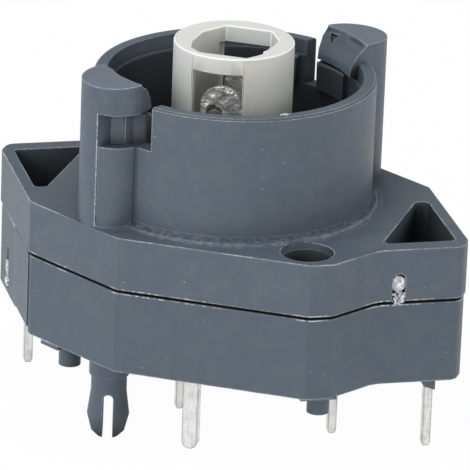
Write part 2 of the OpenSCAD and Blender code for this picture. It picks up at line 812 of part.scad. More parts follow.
// Common terminal: board pin, foot strip, and a two-storey clip round the bridge end.
module common() {
  x0 = bridge_x - 0.8;
  x1 = bridge_x + 0.8;
  pin(pin_common, common_pin_w, pin_t, groove_z + strip_t, common_pin_up);
  bar(pin_common, common_foot, 1.4, groove_z, groove_z + strip_t, foot_over);
  box(x0, x1, clip_y, clip_y + 0.46, groove_z, upper_strip_z + strip_t);
  box(x0, x1, clip_y, common_y + 0.7, lower_strip_z, lower_strip_z + strip_t);
  box(x0, x1, clip_y, common_y + 0.7, upper_strip_z, upper_strip_z + strip_t);
}

module common_a() {
  color("Peru") common();
}

module common_b() {
  color("Peru") rotate(180) common();
}

// Terminal of the contact that opens when pressed: high strip above the bridge.
module upper_throw() {
  p = pin_throw_up;
  q = [bridge_x, throw_y];
  pin(p, pin_w, pin_t, way_z + strip_t);
  upright(p, 1.6, strip_t, way_z, upper_strip_z + strip_t, throw_up_turn);
  bar(p, q, 1.5, upper_strip_z, upper_strip_z + strip_t);
  disc(q[0], q[1], 0.85, upper_strip_z, upper_strip_z + strip_t);
}

module upper_throw_a() {
  color("Peru") upper_throw();
}

module upper_throw_b() {
  color("Peru") rotate(180) upper_throw();
}

// Terminal of the contact that closes when pressed: low strip under the bridge.
module lower_throw() {
  p = pin_throw_low;
  q = [bridge_x, throw_y];
  pin(p, pin_w, pin_t, way_z + strip_t);
  upright(p, 1.6, strip_t, way_z, lower_strip_z + strip_t, 0);
  bar(p, q, 1.5, lower_strip_z, lower_strip_z + strip_t);
  disc(q[0], q[1], 0.85, lower_strip_z, lower_strip_z + strip_t);
}

module lower_throw_a() {
  color("Peru") lower_throw();
}

module lower_throw_b() {
  color("Peru") rotate(180) lower_throw();
}

module fixed_buttons() {
  for (y = [common_y, throw_y]) {
    disc(bridge_x, y, button_r, upper_face_z, upper_strip_z);
    disc(bridge_x, y, button_r, lower_strip_z + strip_t, lower_face_z);
  }
}

module fixed_buttons_a() {
  color("Silver") fixed_buttons();
}

module fixed_buttons_b() {
  color("Silver") rotate(180) fixed_buttons();
}

cover();
base();
lock_plugs();
lamp_holder();
plunger();
return_spring();
bridge_a();
bridge_b();
bridge_buttons_a();
bridge_buttons_b();
bridge_spring_a();
bridge_spring_b();
common_a();
common_b();
upper_throw_a();
upper_throw_b();
lower_throw_a();
lower_throw_b();
fixed_buttons_a();
fixed_buttons_b();
lamp_contact_front();
lamp_contact_back();
lamp_rivet_front();
lamp_rivet_back();
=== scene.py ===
"""Looks of a board-mounted contact block with lamp holder for an illuminated push button.

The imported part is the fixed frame. Each sub-assembly is a class that makes its meshes and
dresses them, each finish is a frozen dataclass that builds one procedural material, and the
studio holds the floor, the light and the camera. Sizes are in millimetres unless a name says
otherwise, and become metres where a mesh or a lamp is made.
"""
import json
import logging
import math
import random
import sys
from dataclasses import dataclass
from enum import Enum
from typing import Optional, Sequence, Union

import bmesh
import bpy
from mathutils import Matrix, Vector, noise

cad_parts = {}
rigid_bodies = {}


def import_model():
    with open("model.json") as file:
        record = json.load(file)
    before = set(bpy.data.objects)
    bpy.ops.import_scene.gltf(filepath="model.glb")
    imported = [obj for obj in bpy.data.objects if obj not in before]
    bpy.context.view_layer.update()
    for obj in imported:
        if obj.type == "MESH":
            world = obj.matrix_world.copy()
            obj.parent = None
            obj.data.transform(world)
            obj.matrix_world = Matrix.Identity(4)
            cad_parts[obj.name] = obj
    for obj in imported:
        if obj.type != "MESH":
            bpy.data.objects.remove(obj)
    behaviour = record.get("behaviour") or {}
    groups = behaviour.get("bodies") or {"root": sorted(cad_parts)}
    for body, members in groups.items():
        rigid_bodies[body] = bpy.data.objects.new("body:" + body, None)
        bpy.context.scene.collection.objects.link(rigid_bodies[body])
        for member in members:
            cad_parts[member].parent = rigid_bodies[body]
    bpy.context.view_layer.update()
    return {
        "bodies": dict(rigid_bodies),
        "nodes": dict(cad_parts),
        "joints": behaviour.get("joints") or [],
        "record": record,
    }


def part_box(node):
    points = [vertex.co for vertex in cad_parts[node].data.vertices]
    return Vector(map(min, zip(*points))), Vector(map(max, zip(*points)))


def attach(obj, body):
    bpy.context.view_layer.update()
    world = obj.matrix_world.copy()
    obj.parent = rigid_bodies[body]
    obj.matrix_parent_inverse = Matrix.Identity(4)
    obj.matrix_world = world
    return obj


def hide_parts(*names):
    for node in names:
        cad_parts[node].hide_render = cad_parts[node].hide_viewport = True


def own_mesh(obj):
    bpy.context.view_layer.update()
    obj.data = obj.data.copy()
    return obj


LOG = logging.getLogger("contact_block")
MM = 0.001

Colour = tuple[float, float, float]
Point = tuple[float, float, float]
Plan = tuple[float, float]
Span = tuple[float, float]
Socketed = Union[float, int, tuple, "Signal"]

WHITE: Colour = (1.0, 1.0, 1.0)
AXIS: Plan = (0.0, 0.0)


def srgb(red: float, green: float, blue: float) -> Colour:
    """Turns display values from 0 to 255 into a linear colour.

    Args:
        red: Display value of red.
        green: Display value of green.
        blue: Display value of blue.

    Returns:
        The linear colour that a shader takes.
    """
    def linear(value: float) -> float:
        """Gives one channel's linear value."""
        share = value / 255
        return share / 12.92 if share <= 0.04045 else ((share + 0.055) / 1.055) ** 2.4

    return (linear(red), linear(green), linear(blue))


# Shader maths


class Signal:
    """One output of a shader node, on which plain arithmetic adds Math nodes."""

    def __init__(self, graph: "Graph", socket: bpy.types.NodeSocket) -> None:
        """Keeps the graph and the socket that the signal comes from."""
        self.graph = graph
        self.socket = socket

    def _math(self, operation: str, first: Socketed, second: Socketed) -> "Signal":
        """Adds one Math node on two values."""
        return self.graph.node("ShaderNodeMath", {"operation": operation}, {0: first, 1: second})

    def __add__(self, other: Socketed) -> "Signal":
        """Gives the sum."""
        return self._math("ADD", self, other)

    def __radd__(self, other: Socketed) -> "Signal":
        """Gives the sum with a number on the left."""
        return self._math("ADD", other, self)

    def __sub__(self, other: Socketed) -> "Signal":
        """Gives the difference."""
        return self._math("SUBTRACT", self, other)

    def __rsub__(self, other: Socketed) -> "Signal":
        """Gives the difference with a number on the left."""
        return self._math("SUBTRACT", other, self)

    def __mul__(self, other: Socketed) -> "Signal":
        """Gives the product."""
        return self._math("MULTIPLY", self, other)

    def __rmul__(self, other: Socketed) -> "Signal":
        """Gives the product with a number on the left."""
        return self._math("MULTIPLY", other, self)

    def most(self, other: Socketed) -> "Signal":
        """Gives the larger of the two."""
        return self._math("MAXIMUM", self, other)

    def least(self, other: Socketed) -> "Signal":
        """Gives the smaller of the two."""
        return self._math("MINIMUM", self, other)

    def ramp(self, low: float, high: float, start: float = 0.0, end: float = 1.0) -> "Signal":
        """Eases the signal from one value to another over a span.

        Args:
            low: Input at which the result is start.
            high: Input at which the result is end.
            start: Result at and before low.
            end: Result at and past high.

        Returns:
            The eased signal, held inside the span.
        """
        return self.graph.node("ShaderNodeMapRange", {"interpolation_type": "SMOOTHSTEP"}, {
            "Value": self, "From Min": low, "From Max": high, "To Min": start, "To Max": end})

    def within(self, span: Span, before: float, past: float) -> "Signal":
        """Gives 1 inside a span and eases to 0 on both sides of it.

        Args:
            span: Ends of the span.
            before: Width of the easing before the span.
            past: Width of the easing past the span.

        Returns:
            The mask.
        """
        return self.ramp(span[0] - before, span[0]) * self.ramp(span[1] + past, span[1])


class Graph:
    """The node tree of one material or world, with short calls for the nodes that are used."""

    def __init__(self, owner: Union[bpy.types.Material, bpy.types.World]) -> None:
        """Takes over the owner's node tree and empties it.

        Args:
            owner: The material or world that the nodes belong to.
        """
        self.owner = owner
        self.owner.use_nodes = True
        self.tree = self.owner.node_tree
        self.tree.nodes.clear()

    @classmethod
    def of_material(cls, name: str) -> "Graph":
        """Starts the node tree of a new material of this name."""
        return cls(bpy.data.materials.new(name))

    def add(self, kind: str, settings: Optional[dict] = None,
            inputs: Optional[dict] = None) -> bpy.types.ShaderNode:
        """Adds one node.

        Args:
            kind: Type of the node.
            settings: Properties to set before the inputs are filled.
            inputs: Values or signals by the name or number of their sockets.

        Returns:
            The node.
        """
        made = self.tree.nodes.new(kind)
        for key, value in (settings or {}).items():
            setattr(made, key, value)
        for key, value in (inputs or {}).items():
            socket = made.inputs[key]
            if isinstance(value, Signal):
                self.tree.links.new(value.socket, socket)
            elif isinstance(value, tuple) and socket.type == "RGBA":
                socket.default_value = (*value, 1.0)
            else:
                socket.default_value = value
        return made

    def node(self, kind: str, settings: Optional[dict] = None, inputs: Optional[dict] = None,
             output: Union[int, str] = 0) -> Signal:
        """Adds one node and gives one of its outputs.

        Args:
            kind: Type of the node.
            settings: Properties to set before the inputs are filled.
            inputs: Values or signals by the name or number of their sockets.
            output: Name or number of the output that is wanted.

        Returns:
            The wanted output as a signal.
        """
        return Signal(self, self.add(kind, settings, inputs).outputs[output])

    def place(self) -> Signal:
        """Gives the point on the piece in millimetres, in the frame that the piece is made in."""
        point = self.node("ShaderNodeTexCoord", output="Object")
        return self.node("ShaderNodeVectorMath", {"operation": "SCALE"}, {0: point, "Scale": 1 / MM})

    def stretched(self, point: Signal, shares: Point) -> Signal:
        """Scales a point by a share along each axis."""
        return self.node("ShaderNodeVectorMath", {"operation": "MULTIPLY"}, {0: point, 1: shares})

    def height(self, point: Signal) -> Signal:
        """Gives the Z part of a point."""
        return self.node("ShaderNodeSeparateXYZ", {}, {0: point}, "Z")

    def clouds(self, point: Signal, per_mm: float, detail: float = 3.0, rough: float = 0.55) -> Signal:
        """Gives soft noise from 0 to 1.

        Args:
            point: Where the noise is read, in millimetres.
            per_mm: Features to a millimetre.
            detail: Octaves of finer noise.
            rough: Share of each finer octave.

        Returns:
            The noise.
        """
        return self.node("ShaderNodeTexNoise", {"noise_dimensions": "3D"}, {
            "Vector": point, "Scale": per_mm, "Detail": detail, "Roughness": rough})

    def cells(self, point: Signal, per_mm: float) -> Signal:
        """Gives the distance, in cells, to the nearest of points scattered so many to a millimetre."""
        return self.node("ShaderNodeTexVoronoi", {"feature": "F1"}, {"Vector": point, "Scale": per_mm},
                         "Distance")

    def distance(self, point: Signal, place: Point) -> Signal:
        """Gives the distance from a place."""
        return self.node("ShaderNodeVectorMath", {"operation": "DISTANCE"}, {0: point, 1: place}, "Value")

    def plan_distance(self, point: Signal, place: Plan) -> Signal:
        """Gives the distance in millimetres from an upright line through a plan place."""
        return self.distance(self.stretched(point, (1.0, 1.0, 0.0)), (*place, 0.0))

    def openness(self, reach: float) -> Signal:
        """Gives how open the surface is to its surroundings, from 0 in a deep corner to 1."""
        return self.node("ShaderNodeAmbientOcclusion", {"samples": 8}, {"Distance": reach * MM}, "AO")

    def turn(self, radius: float) -> Signal:
        """Gives how far the surface turns within a radius, from 0 on a flat to 0.3 at a square edge.

        Args:
            radius: How far round each point the surface is looked at, in millimetres.

        Returns:
            How far it turns.
        """
        face = self.node("ShaderNodeNewGeometry", output="Normal")
        rounded = self.node("ShaderNodeBevel", {"samples": 6}, {"Radius": radius * MM})
        return 1 - self.node("ShaderNodeVectorMath", {"operation": "DOT_PRODUCT"}, {0: face, 1: rounded},
                             "Value")

    def lean(self) -> Signal:
        """Gives 1 on faces that look straight up, 0 on upright ones and -1 on ceilings."""
        return self.height(self.node("ShaderNodeNewGeometry", output="Normal"))

    def upward(self) -> Signal:
        """Gives 1 on faces that look up and 0 on upright ones."""
        return self.lean().ramp(0.2, 0.8)

    def tint(self, first: Socketed, second: Socketed, factor: Socketed) -> Signal:
        """Mixes two colours.

        Args:
            first: Colour at factor 0.
            second: Colour at factor 1.
            factor: Share of the second colour.

        Returns:
            The mixed colour.
        """
        return self.node("ShaderNodeMix", {"data_type": "RGBA", "clamp_factor": True},
                         {0: factor, 6: first, 7: second}, 2)

    def shaded(self, colour: Socketed, level: Signal) -> Signal:
        """Multiplies a colour by a level."""
        levels = self.node("ShaderNodeCombineXYZ", {}, {0: level, 1: level, 2: level})
        return self.node("ShaderNodeVectorMath", {"operation": "MULTIPLY"}, {0: colour, 1: levels})

    def relief(self, height: Signal, depth: float, under: Optional[Signal] = None) -> Signal:
        """Gives the normal of a fine relief.

        Args:
            height: Height of the relief from 0 to 1.
            depth: Real height of the relief in millimetres.
            under: Normal of a coarser relief that it lies on.

        Returns:
            The normal.
        """
        inputs = {"Strength": 1.0, "Distance": depth * MM, "Height": height}
        if under:
            inputs["Normal"] = under
        return self.node("ShaderNodeBump", {}, inputs)

    def surface(self, **inputs: Socketed) -> bpy.types.Material:
        """Ends a material in a Principled shader.

        Args:
            **inputs: Socket names in lower case with underscores, and their values.

        Returns:
            The finished material.
        """
        named = {}
        for key, value in inputs.items():
            named[key.replace("_", " ").title().replace("Ior", "IOR")] = value
        return self.ended(self.node("ShaderNodeBsdfPrincipled", {}, named, "BSDF"))

    def ended(self, shader: Signal, kind: str = "ShaderNodeOutputMaterial"
              ) -> Union[bpy.types.Material, bpy.types.World]:
        """Links the last shader to the tree's output.

        Args:
            shader: The shader.
            kind: Type of the output node.

        Returns:
            The finished material or world.
        """
        self.add(kind, inputs={"Surface": shader})
        return self.owner


# Masks and marks


@dataclass(frozen=True)
class Patches:
    """Irregular patches: soft noise that rises to a mask between two of its values."""

    per_mm: float
    low: float
    high: float
    detail: float = 3.0
    rough: float = 0.55
    stretch: Point = (1.0, 1.0, 1.0)

    def mask(self, graph: Graph, point: Signal) -> Signal:
        """Gives 1 on the patches and 0 between them."""
        read = graph.stretched(point, self.stretch)
        return graph.clouds(read, self.per_mm, self.detail, self.rough).ramp(self.low, self.high)


@dataclass(frozen=True)
class Open:
    """Places that are open to their surroundings within a reach, as corners aren't."""

    reach: float
    low: float
    high: float

    def mask(self, graph: Graph) -> Signal:
        """Gives 1 where the surface is open and 0 in corners."""
        return graph.openness(self.reach).ramp(self.low, self.high)


@dataclass(frozen=True)
class NearEdge:
    """A band along the sharp edges, which turn the surface within a reach."""

    reach: float
    low: float
    high: float

    def mask(self, graph: Graph) -> Signal:
        """Gives 1 at the edges and 0 away from them."""
        return graph.turn(self.reach).ramp(self.low, self.high)


@dataclass(frozen=True)
class Mark:
    """Something that is laid over the colour of a moulded piece where it stands."""

    colour: Colour
    strength: float

    def mask(self, graph: Graph, point: Signal) -> Signal:
        """Gives 1 where the mark lies.

        Args:
            graph: The material's node tree.
            point: Place on the piece in millimetres.

        Returns:
            The mask.
        """
        raise NotImplementedError

    def drawn(self, graph: Graph, point: Signal, under: Signal) -> Signal:
        """Lays the mark over a colour.

        Args:
            graph: The material's node tree.
            point: Place on the piece in millimetres.
            under: Colour that the mark lies on.

        Returns:
            The colour with the mark.
        """
        return graph.tint(under, self.colour, self.mask(graph, point) * self.strength)


@dataclass(frozen=True)
class UprightLine(Mark):
    """A fine upright line and its half-turn mate: a flash line, the dark joint of skirt and base, painted
    shade in a crease or a painted highlight on an edge.
    """

    place: Plan
    span: Span
    half: float
    dotted: float = 0.0
    dots: Patches = Patches(3.4, 0.44, 0.6, detail=2, rough=0.7, stretch=(0.4, 0.4, 1.0))

    def mask(self, graph: Graph, point: Signal) -> Signal:
        """Gives 1 on the two lines.

        Args:
            graph: The material's node tree.
            point: Place on the piece in millimetres.

        Returns:
            The mask.
        """
        near = graph.plan_distance(point, self.place)
        far = graph.plan_distance(point, (-self.place[0], -self.place[1]))
        line = near.least(far).ramp(self.half * 1.5, self.half * 0.6)
        along = graph.height(point).within(self.span, before=0.2, past=0.1)
        return line * along * (self.dots.mask(graph, point) * self.dotted + (1 - self.dotted))


@dataclass(frozen=True)
class PartingLine(Mark):
    """A level line along the joint between cover and base, whole or broken into crumbs."""

    span: Span
    whole: float = 0.0
    fade: float = 0.03
    crumbs: Patches = Patches(2.6, 0.42, 0.56, rough=0.7)
    stretches: Patches = Patches(0.3, 0.4, 0.6, rough=0.6)

    def mask(self, graph: Graph, point: Signal) -> Signal:
        """Gives 1 on the line, or on the crumbs that are left of it.

        Args:
            graph: The material's node tree.
            point: Place on the piece in millimetres.

        Returns:
            The mask.
        """
        band = graph.height(point).within(self.span, self.fade, self.fade)
        crumbs = self.crumbs.mask(graph, point) * self.stretches.mask(graph, point)
        return band * (crumbs * (1 - self.whole) + self.whole)


@dataclass(frozen=True)
class HollowShade(Mark):
    """Painted shade on the inside of the collar, below its lead-in."""

    radius: float
    top: float
    fade: float = 0.8

    def mask(self, graph: Graph, point: Signal) -> Signal:
        """Gives 1 inside the collar."""
        inside = graph.plan_distance(point, AXIS).ramp(self.radius, self.radius - 0.15)
        return inside * graph.height(point).ramp(self.top, self.top - self.fade)


@dataclass(frozen=True)
class FlashLip(Mark):
    """The wavy pale lip along the top of the guide faces inside the collar."""

    radius: float
    span: Span
    waves_per_mm: float = 0.9
    wave: float = 0.25

    def mask(self, graph: Graph, point: Signal) -> Signal:
        """Gives 1 on the lip.

        Args:
            graph: The material's node tree.
            point: Place on the piece in millimetres.

        Returns:
            The mask.
        """
        inside = graph.plan_distance(point, AXIS).ramp(self.radius, self.radius - 0.05)
        wave = graph.clouds(point, self.waves_per_mm, 2) * (2 * self.wave) - self.wave
        return inside * (graph.height(point) + wave).within(self.span, before=0.08, past=0.1)


@dataclass(frozen=True)
class TopHighlight(Mark):
    """A painted highlight on the faces of the latch towers that look up, in uneven patches."""

    low: float
    level_lean: Span = (0.88, 0.97)
    lit_patches_per_mm: float = 0.5

    def mask(self, graph: Graph, point: Signal) -> Signal:
        """Gives 1 on the tops.

        Args:
            graph: The material's node tree.
            point: Place on the piece in millimetres.

        Returns:
            The mask.
        """
        tops = graph.lean().ramp(*self.level_lean) * graph.height(point).ramp(self.low, self.low + 0.3)
        lit_patches = graph.clouds(point, self.lit_patches_per_mm, 3) * 0.6 + 0.6
        return tops * lit_patches


@dataclass(frozen=True)
class LeadInShade(Mark):
    """Painted shade on the slopes that guide the operator under the latch hooks."""

    low: float
    slope_lean: Span = (0.4, 0.87)
    uneven_per_mm: float = 0.8

    def mask(self, graph: Graph, point: Signal) -> Signal:
        """Gives 1 on the slopes.

        Args:
            graph: The material's node tree.
            point: Place on the piece in millimetres.

        Returns:
            The mask.
        """
        slope = graph.lean().within(self.slope_lean, before=0.15, past=0.06)
        uneven = graph.clouds(point, self.uneven_per_mm, 3) * 0.5 + 0.7
        return slope * graph.height(point).ramp(self.low, self.low + 0.2) * uneven


@dataclass(frozen=True)
class RoughFoot:
    """The wrinkled ring where the collar's foot was drawn out of the mould."""

    ring: Span
    span: Span
    pale: Colour
    dark: Colour
    wrinkles_per_mm: float = 2.6
    crests: Span = (0.42, 0.66)
    crest_highlight: float = 0.45
    troughs: Span = (0.46, 0.34)
    trough_shade: float = 0.35
    depth: float = 0.05
    rub_highlight_off: float = 0.85

    def mask(self, graph: Graph, point: Signal) -> Signal:
        """Gives 1 on the ring."""
        around = graph.plan_distance(point, AXIS).within(self.ring, before=0.05, past=0.15)
        return around * graph.height(point).within(self.span, before=0.05, past=0.25)

    def wrinkles(self, graph: Graph, point: Signal) -> Signal:
        """Gives the height of the wrinkles from 0 to 1."""
        return graph.clouds(graph.stretched(point, (1.0, 1.0, 2.2)), self.wrinkles_per_mm, 3, 0.65)

    def drawn(self, graph: Graph, point: Signal, under: Signal) -> Signal:
        """Lays a painted highlight on the crests and painted shade in the troughs of the wrinkles over a
        colour.

        Args:
            graph: The material's node tree.
            point: Place on the piece in millimetres.
            under: Colour that the wrinkles lie on.

        Returns:
            The colour with the wrinkles.
        """
        ring = self.mask(graph, point)
        wrinkles = self.wrinkles(graph, point)
        # Painted highlight on the crests, painted shade in the troughs.
        crests = wrinkles.ramp(*self.crests) * ring * self.crest_highlight
        troughs = wrinkles.ramp(*self.troughs) * ring * self.trough_shade
        return graph.tint(graph.tint(under, self.pale, crests), self.dark, troughs)


@dataclass(frozen=True)
class CalmZones:
    """Where edge wear and painted highlight are turned down: inside the collar and at the feet of the latch
    towers.
    """

    collar_radius: float
    collar_top: float
    tower: Plan
    tower_radius: float
    tower_foot: float
    collar_share: float = 0.75
    tower_share: float = 0.7

    def left(self, graph: Graph, point: Signal) -> Signal:
        """Gives the share of the edge wear and painted highlight that is left.

        Args:
            graph: The material's node tree.
            point: Place on the piece in millimetres.

        Returns:
            The share.
        """
        height = graph.height(point)
        inner = graph.plan_distance(point, AXIS).ramp(self.collar_radius + 0.12, self.collar_radius)
        inner = inner * height.ramp(self.collar_top + 0.2, self.collar_top)
        near = graph.plan_distance(point, self.tower)
        far = graph.plan_distance(point, (-self.tower[0], -self.tower[1]))
        feet = near.least(far).ramp(self.tower_radius + 0.2, self.tower_radius)
        feet = feet * height.ramp(self.tower_foot + 0.15, self.tower_foot)
        return 1 - (inner * self.collar_share).most(feet * self.tower_share)


# Finishes


@dataclass(frozen=True)
class MouldedPlastic:
    """Satin moulded plastic: fine grain, drift of tone, pale specks, edge wear with painted highlights,
    painted shade in corners.
    """

    name: str
    colour: Colour
    cast: Colour
    cast_patches: Patches = Patches(0.7, 0.4, 0.66, rough=0.6)
    drift: float = 0.07
    drift_per_mm: float = 0.22
    fine_per_mm: float = 2.6
    grain: float = 0.016
    grain_per_mm: float = 3.6
    roughness: float = 0.5
    rough_drift: float = 0.07
    ior: float = 1.5
    specks: float = 0.6
    speck_colour: Colour = srgb(186, 190, 194)
    dust_per_mm: float = 0.95
    dust_size: Span = (0.085, 0.03)
    dusty: Patches = Patches(0.6, 0.52, 0.68, detail=2)
    scratch_per_mm: float = 0.9
    scratch_stretch: Point = (0.5, 0.5, 2.6)
    scratch_size: Span = (0.075, 0.04)
    scratched: Patches = Patches(0.35, 0.54, 0.64, detail=2)
    out_of_corner: Open = Open(8.0, 0.1, 0.72)
    corner_shade: float = 0.9
    corner_rough: float = 0.4
    halo_turn: Span = (0.0015, 0.012)
    halo_shade: float = 0.22
    # Edge wear and painted highlight: a pale colour along the edges that stand out.
    rub_highlight_colour: Colour = srgb(196, 201, 208)
    rub_highlight: float = 0.95
    rub_highlight_r: float = 0.2
    rub_highlight_turn: Span = (0.02, 0.11)
    rub_highlight_patches: float = 0.6
    rub_highlight_least: float = 0.3
    rub_highlight_nibbles: float = 0.85
    worn_and_highlit: Patches = Patches(0.4, 0.34, 0.6, detail=4, rough=0.6)
    nibbled: Patches = Patches(4.5, 0.36, 0.62, rough=0.7)
    stands_out: Open = Open(0.7, 0.7, 0.93)
    in_reach: Open = Open(4.0, 0.5, 0.85)
    pegs_below: float = 2.6
    peg_rub_highlight: float = 0.3
    all_edge: bool = False
    marks: tuple[Mark, ...] = ()
    calm: Optional[CalmZones] = None
    foot: Optional[RoughFoot] = None

    def build(self) -> bpy.types.Material:
        """Builds the material.

        Returns:
            The material.
        """
        graph = Graph.of_material(self.name)
        point = graph.place()
        tone = graph.clouds(point, self.drift_per_mm, 4) * 2 - 1
        fine = graph.clouds(point, self.fine_per_mm, 3, 0.7) * 2 - 1
        # Painted shade: darker in corners and hollows, where less light reaches.
        free = self.out_of_corner.mask(graph)
        level = 1 + tone * self.drift + fine * self.drift
        level = level * (free * self.corner_shade + (1 - self.corner_shade))
        turn = None if self.all_edge else graph.turn(self.rub_highlight_r)
        # Painted shade: a faint dark line beside sharp edges on faces that look up.
        if turn:
            halo = turn.ramp(*self.halo_turn) * graph.upward()
            level = level * (1 - halo * self.halo_shade)
        cast = self.cast_patches.mask(graph, point)
        colour = graph.shaded(graph.tint(self.colour, self.cast, cast), level)
        colour = graph.tint(colour, self.speck_colour, self.specks_at(graph, point) * self.specks)
        coarse = graph.clouds(point, self.grain_per_mm, 4, 0.6)
        pits = graph.cells(point, self.grain_per_mm * 1.6)
        normal = graph.relief(coarse + pits * 0.4, self.grain)
        rubbed_and_highlit = self.rubbed_and_highlit(graph, point, turn)
        if self.foot:
            ring = self.foot.mask(graph, point)
            rubbed_and_highlit = rubbed_and_highlit * (1 - ring * self.foot.rub_highlight_off)
            colour = self.foot.drawn(graph, point, colour)
            normal = graph.relief(self.foot.wrinkles(graph, point) * ring, self.foot.depth, normal)
        if self.calm:
            rubbed_and_highlit = rubbed_and_highlit * self.calm.left(graph, point)
        # Edge wear and painted highlight laid over the colour.
        colour = graph.tint(colour, self.rub_highlight_colour, rubbed_and_highlit)
        for mark in self.marks:
            colour = mark.drawn(graph, point, colour)
        rough = self.roughness + fine * self.rough_drift + (1 - free) * self.corner_rough
        return graph.surface(base_color=colour, roughness=rough, normal=normal, ior=self.ior)

    def specks_at(self, graph: Graph, point: Signal) -> Signal:
        """Gives 1 on small pale specks and on short level scratches.

        Args:
            graph: The material's node tree.
            point: Place on the piece in millimetres.

        Returns:
            The mask.
        """
        dust = graph.cells(point, self.dust_per_mm).ramp(*self.dust_size)
        dust = dust * self.dusty.mask(graph, point)
        flattened = graph.stretched(point, self.scratch_stretch)
        scratch = graph.cells(flattened, self.scratch_per_mm).ramp(*self.scratch_size)
        return dust.most(scratch * self.scratched.mask(graph, point))

    def rubbed_and_highlit(self, graph: Graph, point: Signal, turn: Optional[Signal]) -> Signal:
        """Gives how pale the edges are painted, for wear and as a painted highlight along edges that stand
        out.

        Args:
            graph: The material's node tree.
            point: Place on the piece in millimetres.
            turn: How far the surface turns there, or None where all of it is an edge.

        Returns:
            The mask.
        """
        worn_and_highlit = self.worn_and_highlit.mask(graph, point) * self.rub_highlight_patches + (1 - self.rub_highlight_patches)
        worn_and_highlit = worn_and_highlit * (self.rub_highlight_least + self.nibbled.mask(graph, point) * self.rub_highlight_nibbles)
        if turn:
            worn_and_highlit = worn_and_highlit * turn.ramp(*self.rub_highlight_turn)
        free = self.stands_out.mask(graph) * self.in_reach.mask(graph)
        above = graph.height(point).ramp(self.pegs_below - 0.3, self.pegs_below, self.peg_rub_highlight, 1.0)
        return worn_and_highlit * free * self.rub_highlight * above


@dataclass(frozen=True)
class TinnedMetal:
    """Hot-tinned strip: a bright skin that froze in lumps on the tabs and lies smooth on the pins."""

    name: str
    colour: Colour = srgb(236, 236, 234)
    dull: Colour = srgb(202, 202, 196)
    dulled: Patches = Patches(1.1, 0.42, 0.68, detail=4, rough=0.65)
    dull_strength: float = 0.45
    dull_rough: float = 0.2
    pit: Colour = srgb(70, 70, 66)
    pitted: Patches = Patches(1.375, 0.41, 0.3, rough=0.6)
    pit_strength: float = 0.66
    inner_rim_shade: NearEdge = NearEdge(0.4, 0.004, 0.05)
    inner_rim_shade_strength: float = 0.42
    rim: Colour = srgb(250, 250, 247)
    rim_highlight_edge: NearEdge = NearEdge(0.14, 0.015, 0.1)
    rim_highlight_strength: float = 0.95
    pin_shade_and_streaks: Colour = srgb(92, 93, 95)
    pin_edge: NearEdge = NearEdge(0.16, 0.002, 0.03)
    pin_edge_shade_strength: float = 0.8
    streaked: Patches = Patches(1.6, 0.5, 0.62, rough=0.6, stretch=(3.0, 3.0, 0.4))
    streak_strength: float = 0.16
    rivet: Point = (-2.39, -3.05, 21.6)
    rivet_ring: Span = (0.75, 0.6)
    ring_strength: float = 0.8
    lump_per_mm: float = 1.25
    lump: float = 0.21
    pin_lump: float = 0.12
    ripple: float = 0.16
    pins_to: float = 5.0
    lumps_from: float = 7.0
    roughness: float = 0.26
    metallic: float = 0.72

    def build(self) -> bpy.types.Material:
        """Builds the material.

        Returns:
            The material.
        """
        graph = Graph.of_material(self.name)
        point = graph.place()
        lumpy = graph.height(point).ramp(self.pins_to, self.lumps_from)
        humps = graph.clouds(point, self.lump_per_mm, 2, 0.5)
        humps = humps * (lumpy * (1 - self.pin_lump) + self.pin_lump)
        ripples = graph.clouds(point, self.lump_per_mm * 3, 3)
        dull = self.dulled.mask(graph, point)
        colour = graph.tint(self.colour, self.dull, dull * self.dull_strength)
        colour = self.pins(graph, point, self.tabs(graph, point, colour, lumpy), lumpy)
        normal = graph.relief(ripples, self.lump * self.ripple, graph.relief(humps, self.lump))
        return graph.surface(base_color=colour, metallic=self.metallic,
                             roughness=self.roughness + dull * self.dull_rough, normal=normal)

    def tabs(self, graph: Graph, point: Signal, under: Signal, lumpy: Signal) -> Signal:
        """Draws the pits, a painted highlight along the rim with painted shade just inside it, and the ring
        round the rivet of a tab.

        Args:
            graph: The material's node tree.
            point: Place on the piece in millimetres.
            under: Colour that they lie on.
            lumpy: 1 on the tabs and 0 on the pins.

        Returns:
            The colour with them.
        """
        near = graph.distance(point, self.rivet)
        far = graph.distance(point, (-self.rivet[0], -self.rivet[1], self.rivet[2]))
        ring = near.least(far).ramp(*self.rivet_ring)
        colour = under
        # Painted shade just inside the rim and a painted highlight along it.
        for tone, mask, strength in ((self.pit, self.pitted.mask(graph, point), self.pit_strength),
                                     (self.pit, self.inner_rim_shade.mask(graph), self.inner_rim_shade_strength),
                                     (self.rim, self.rim_highlight_edge.mask(graph), self.rim_highlight_strength),
                                     (self.pit, ring, self.ring_strength)):
            colour = graph.tint(colour, tone, mask * lumpy * strength)
        return colour

    def pins(self, graph: Graph, point: Signal, under: Signal, lumpy: Signal) -> Signal:
        """Draws painted shade along the edges of the pins and their faint dark upright streaks.

        Args:
            graph: The material's node tree.
            point: Place on the piece in millimetres.
            under: Colour that they lie on.
            lumpy: 1 on the tabs and 0 on the pins.

        Returns:
            The colour with them.
        """
        # Painted shade along the pin edges.
        sides = self.pin_edge.mask(graph) * self.pin_edge_shade_strength
        streaks = self.streaked.mask(graph, point) * self.streak_strength
        return graph.tint(under, self.pin_shade_and_streaks, sides.most(streaks) * (1 - lumpy))


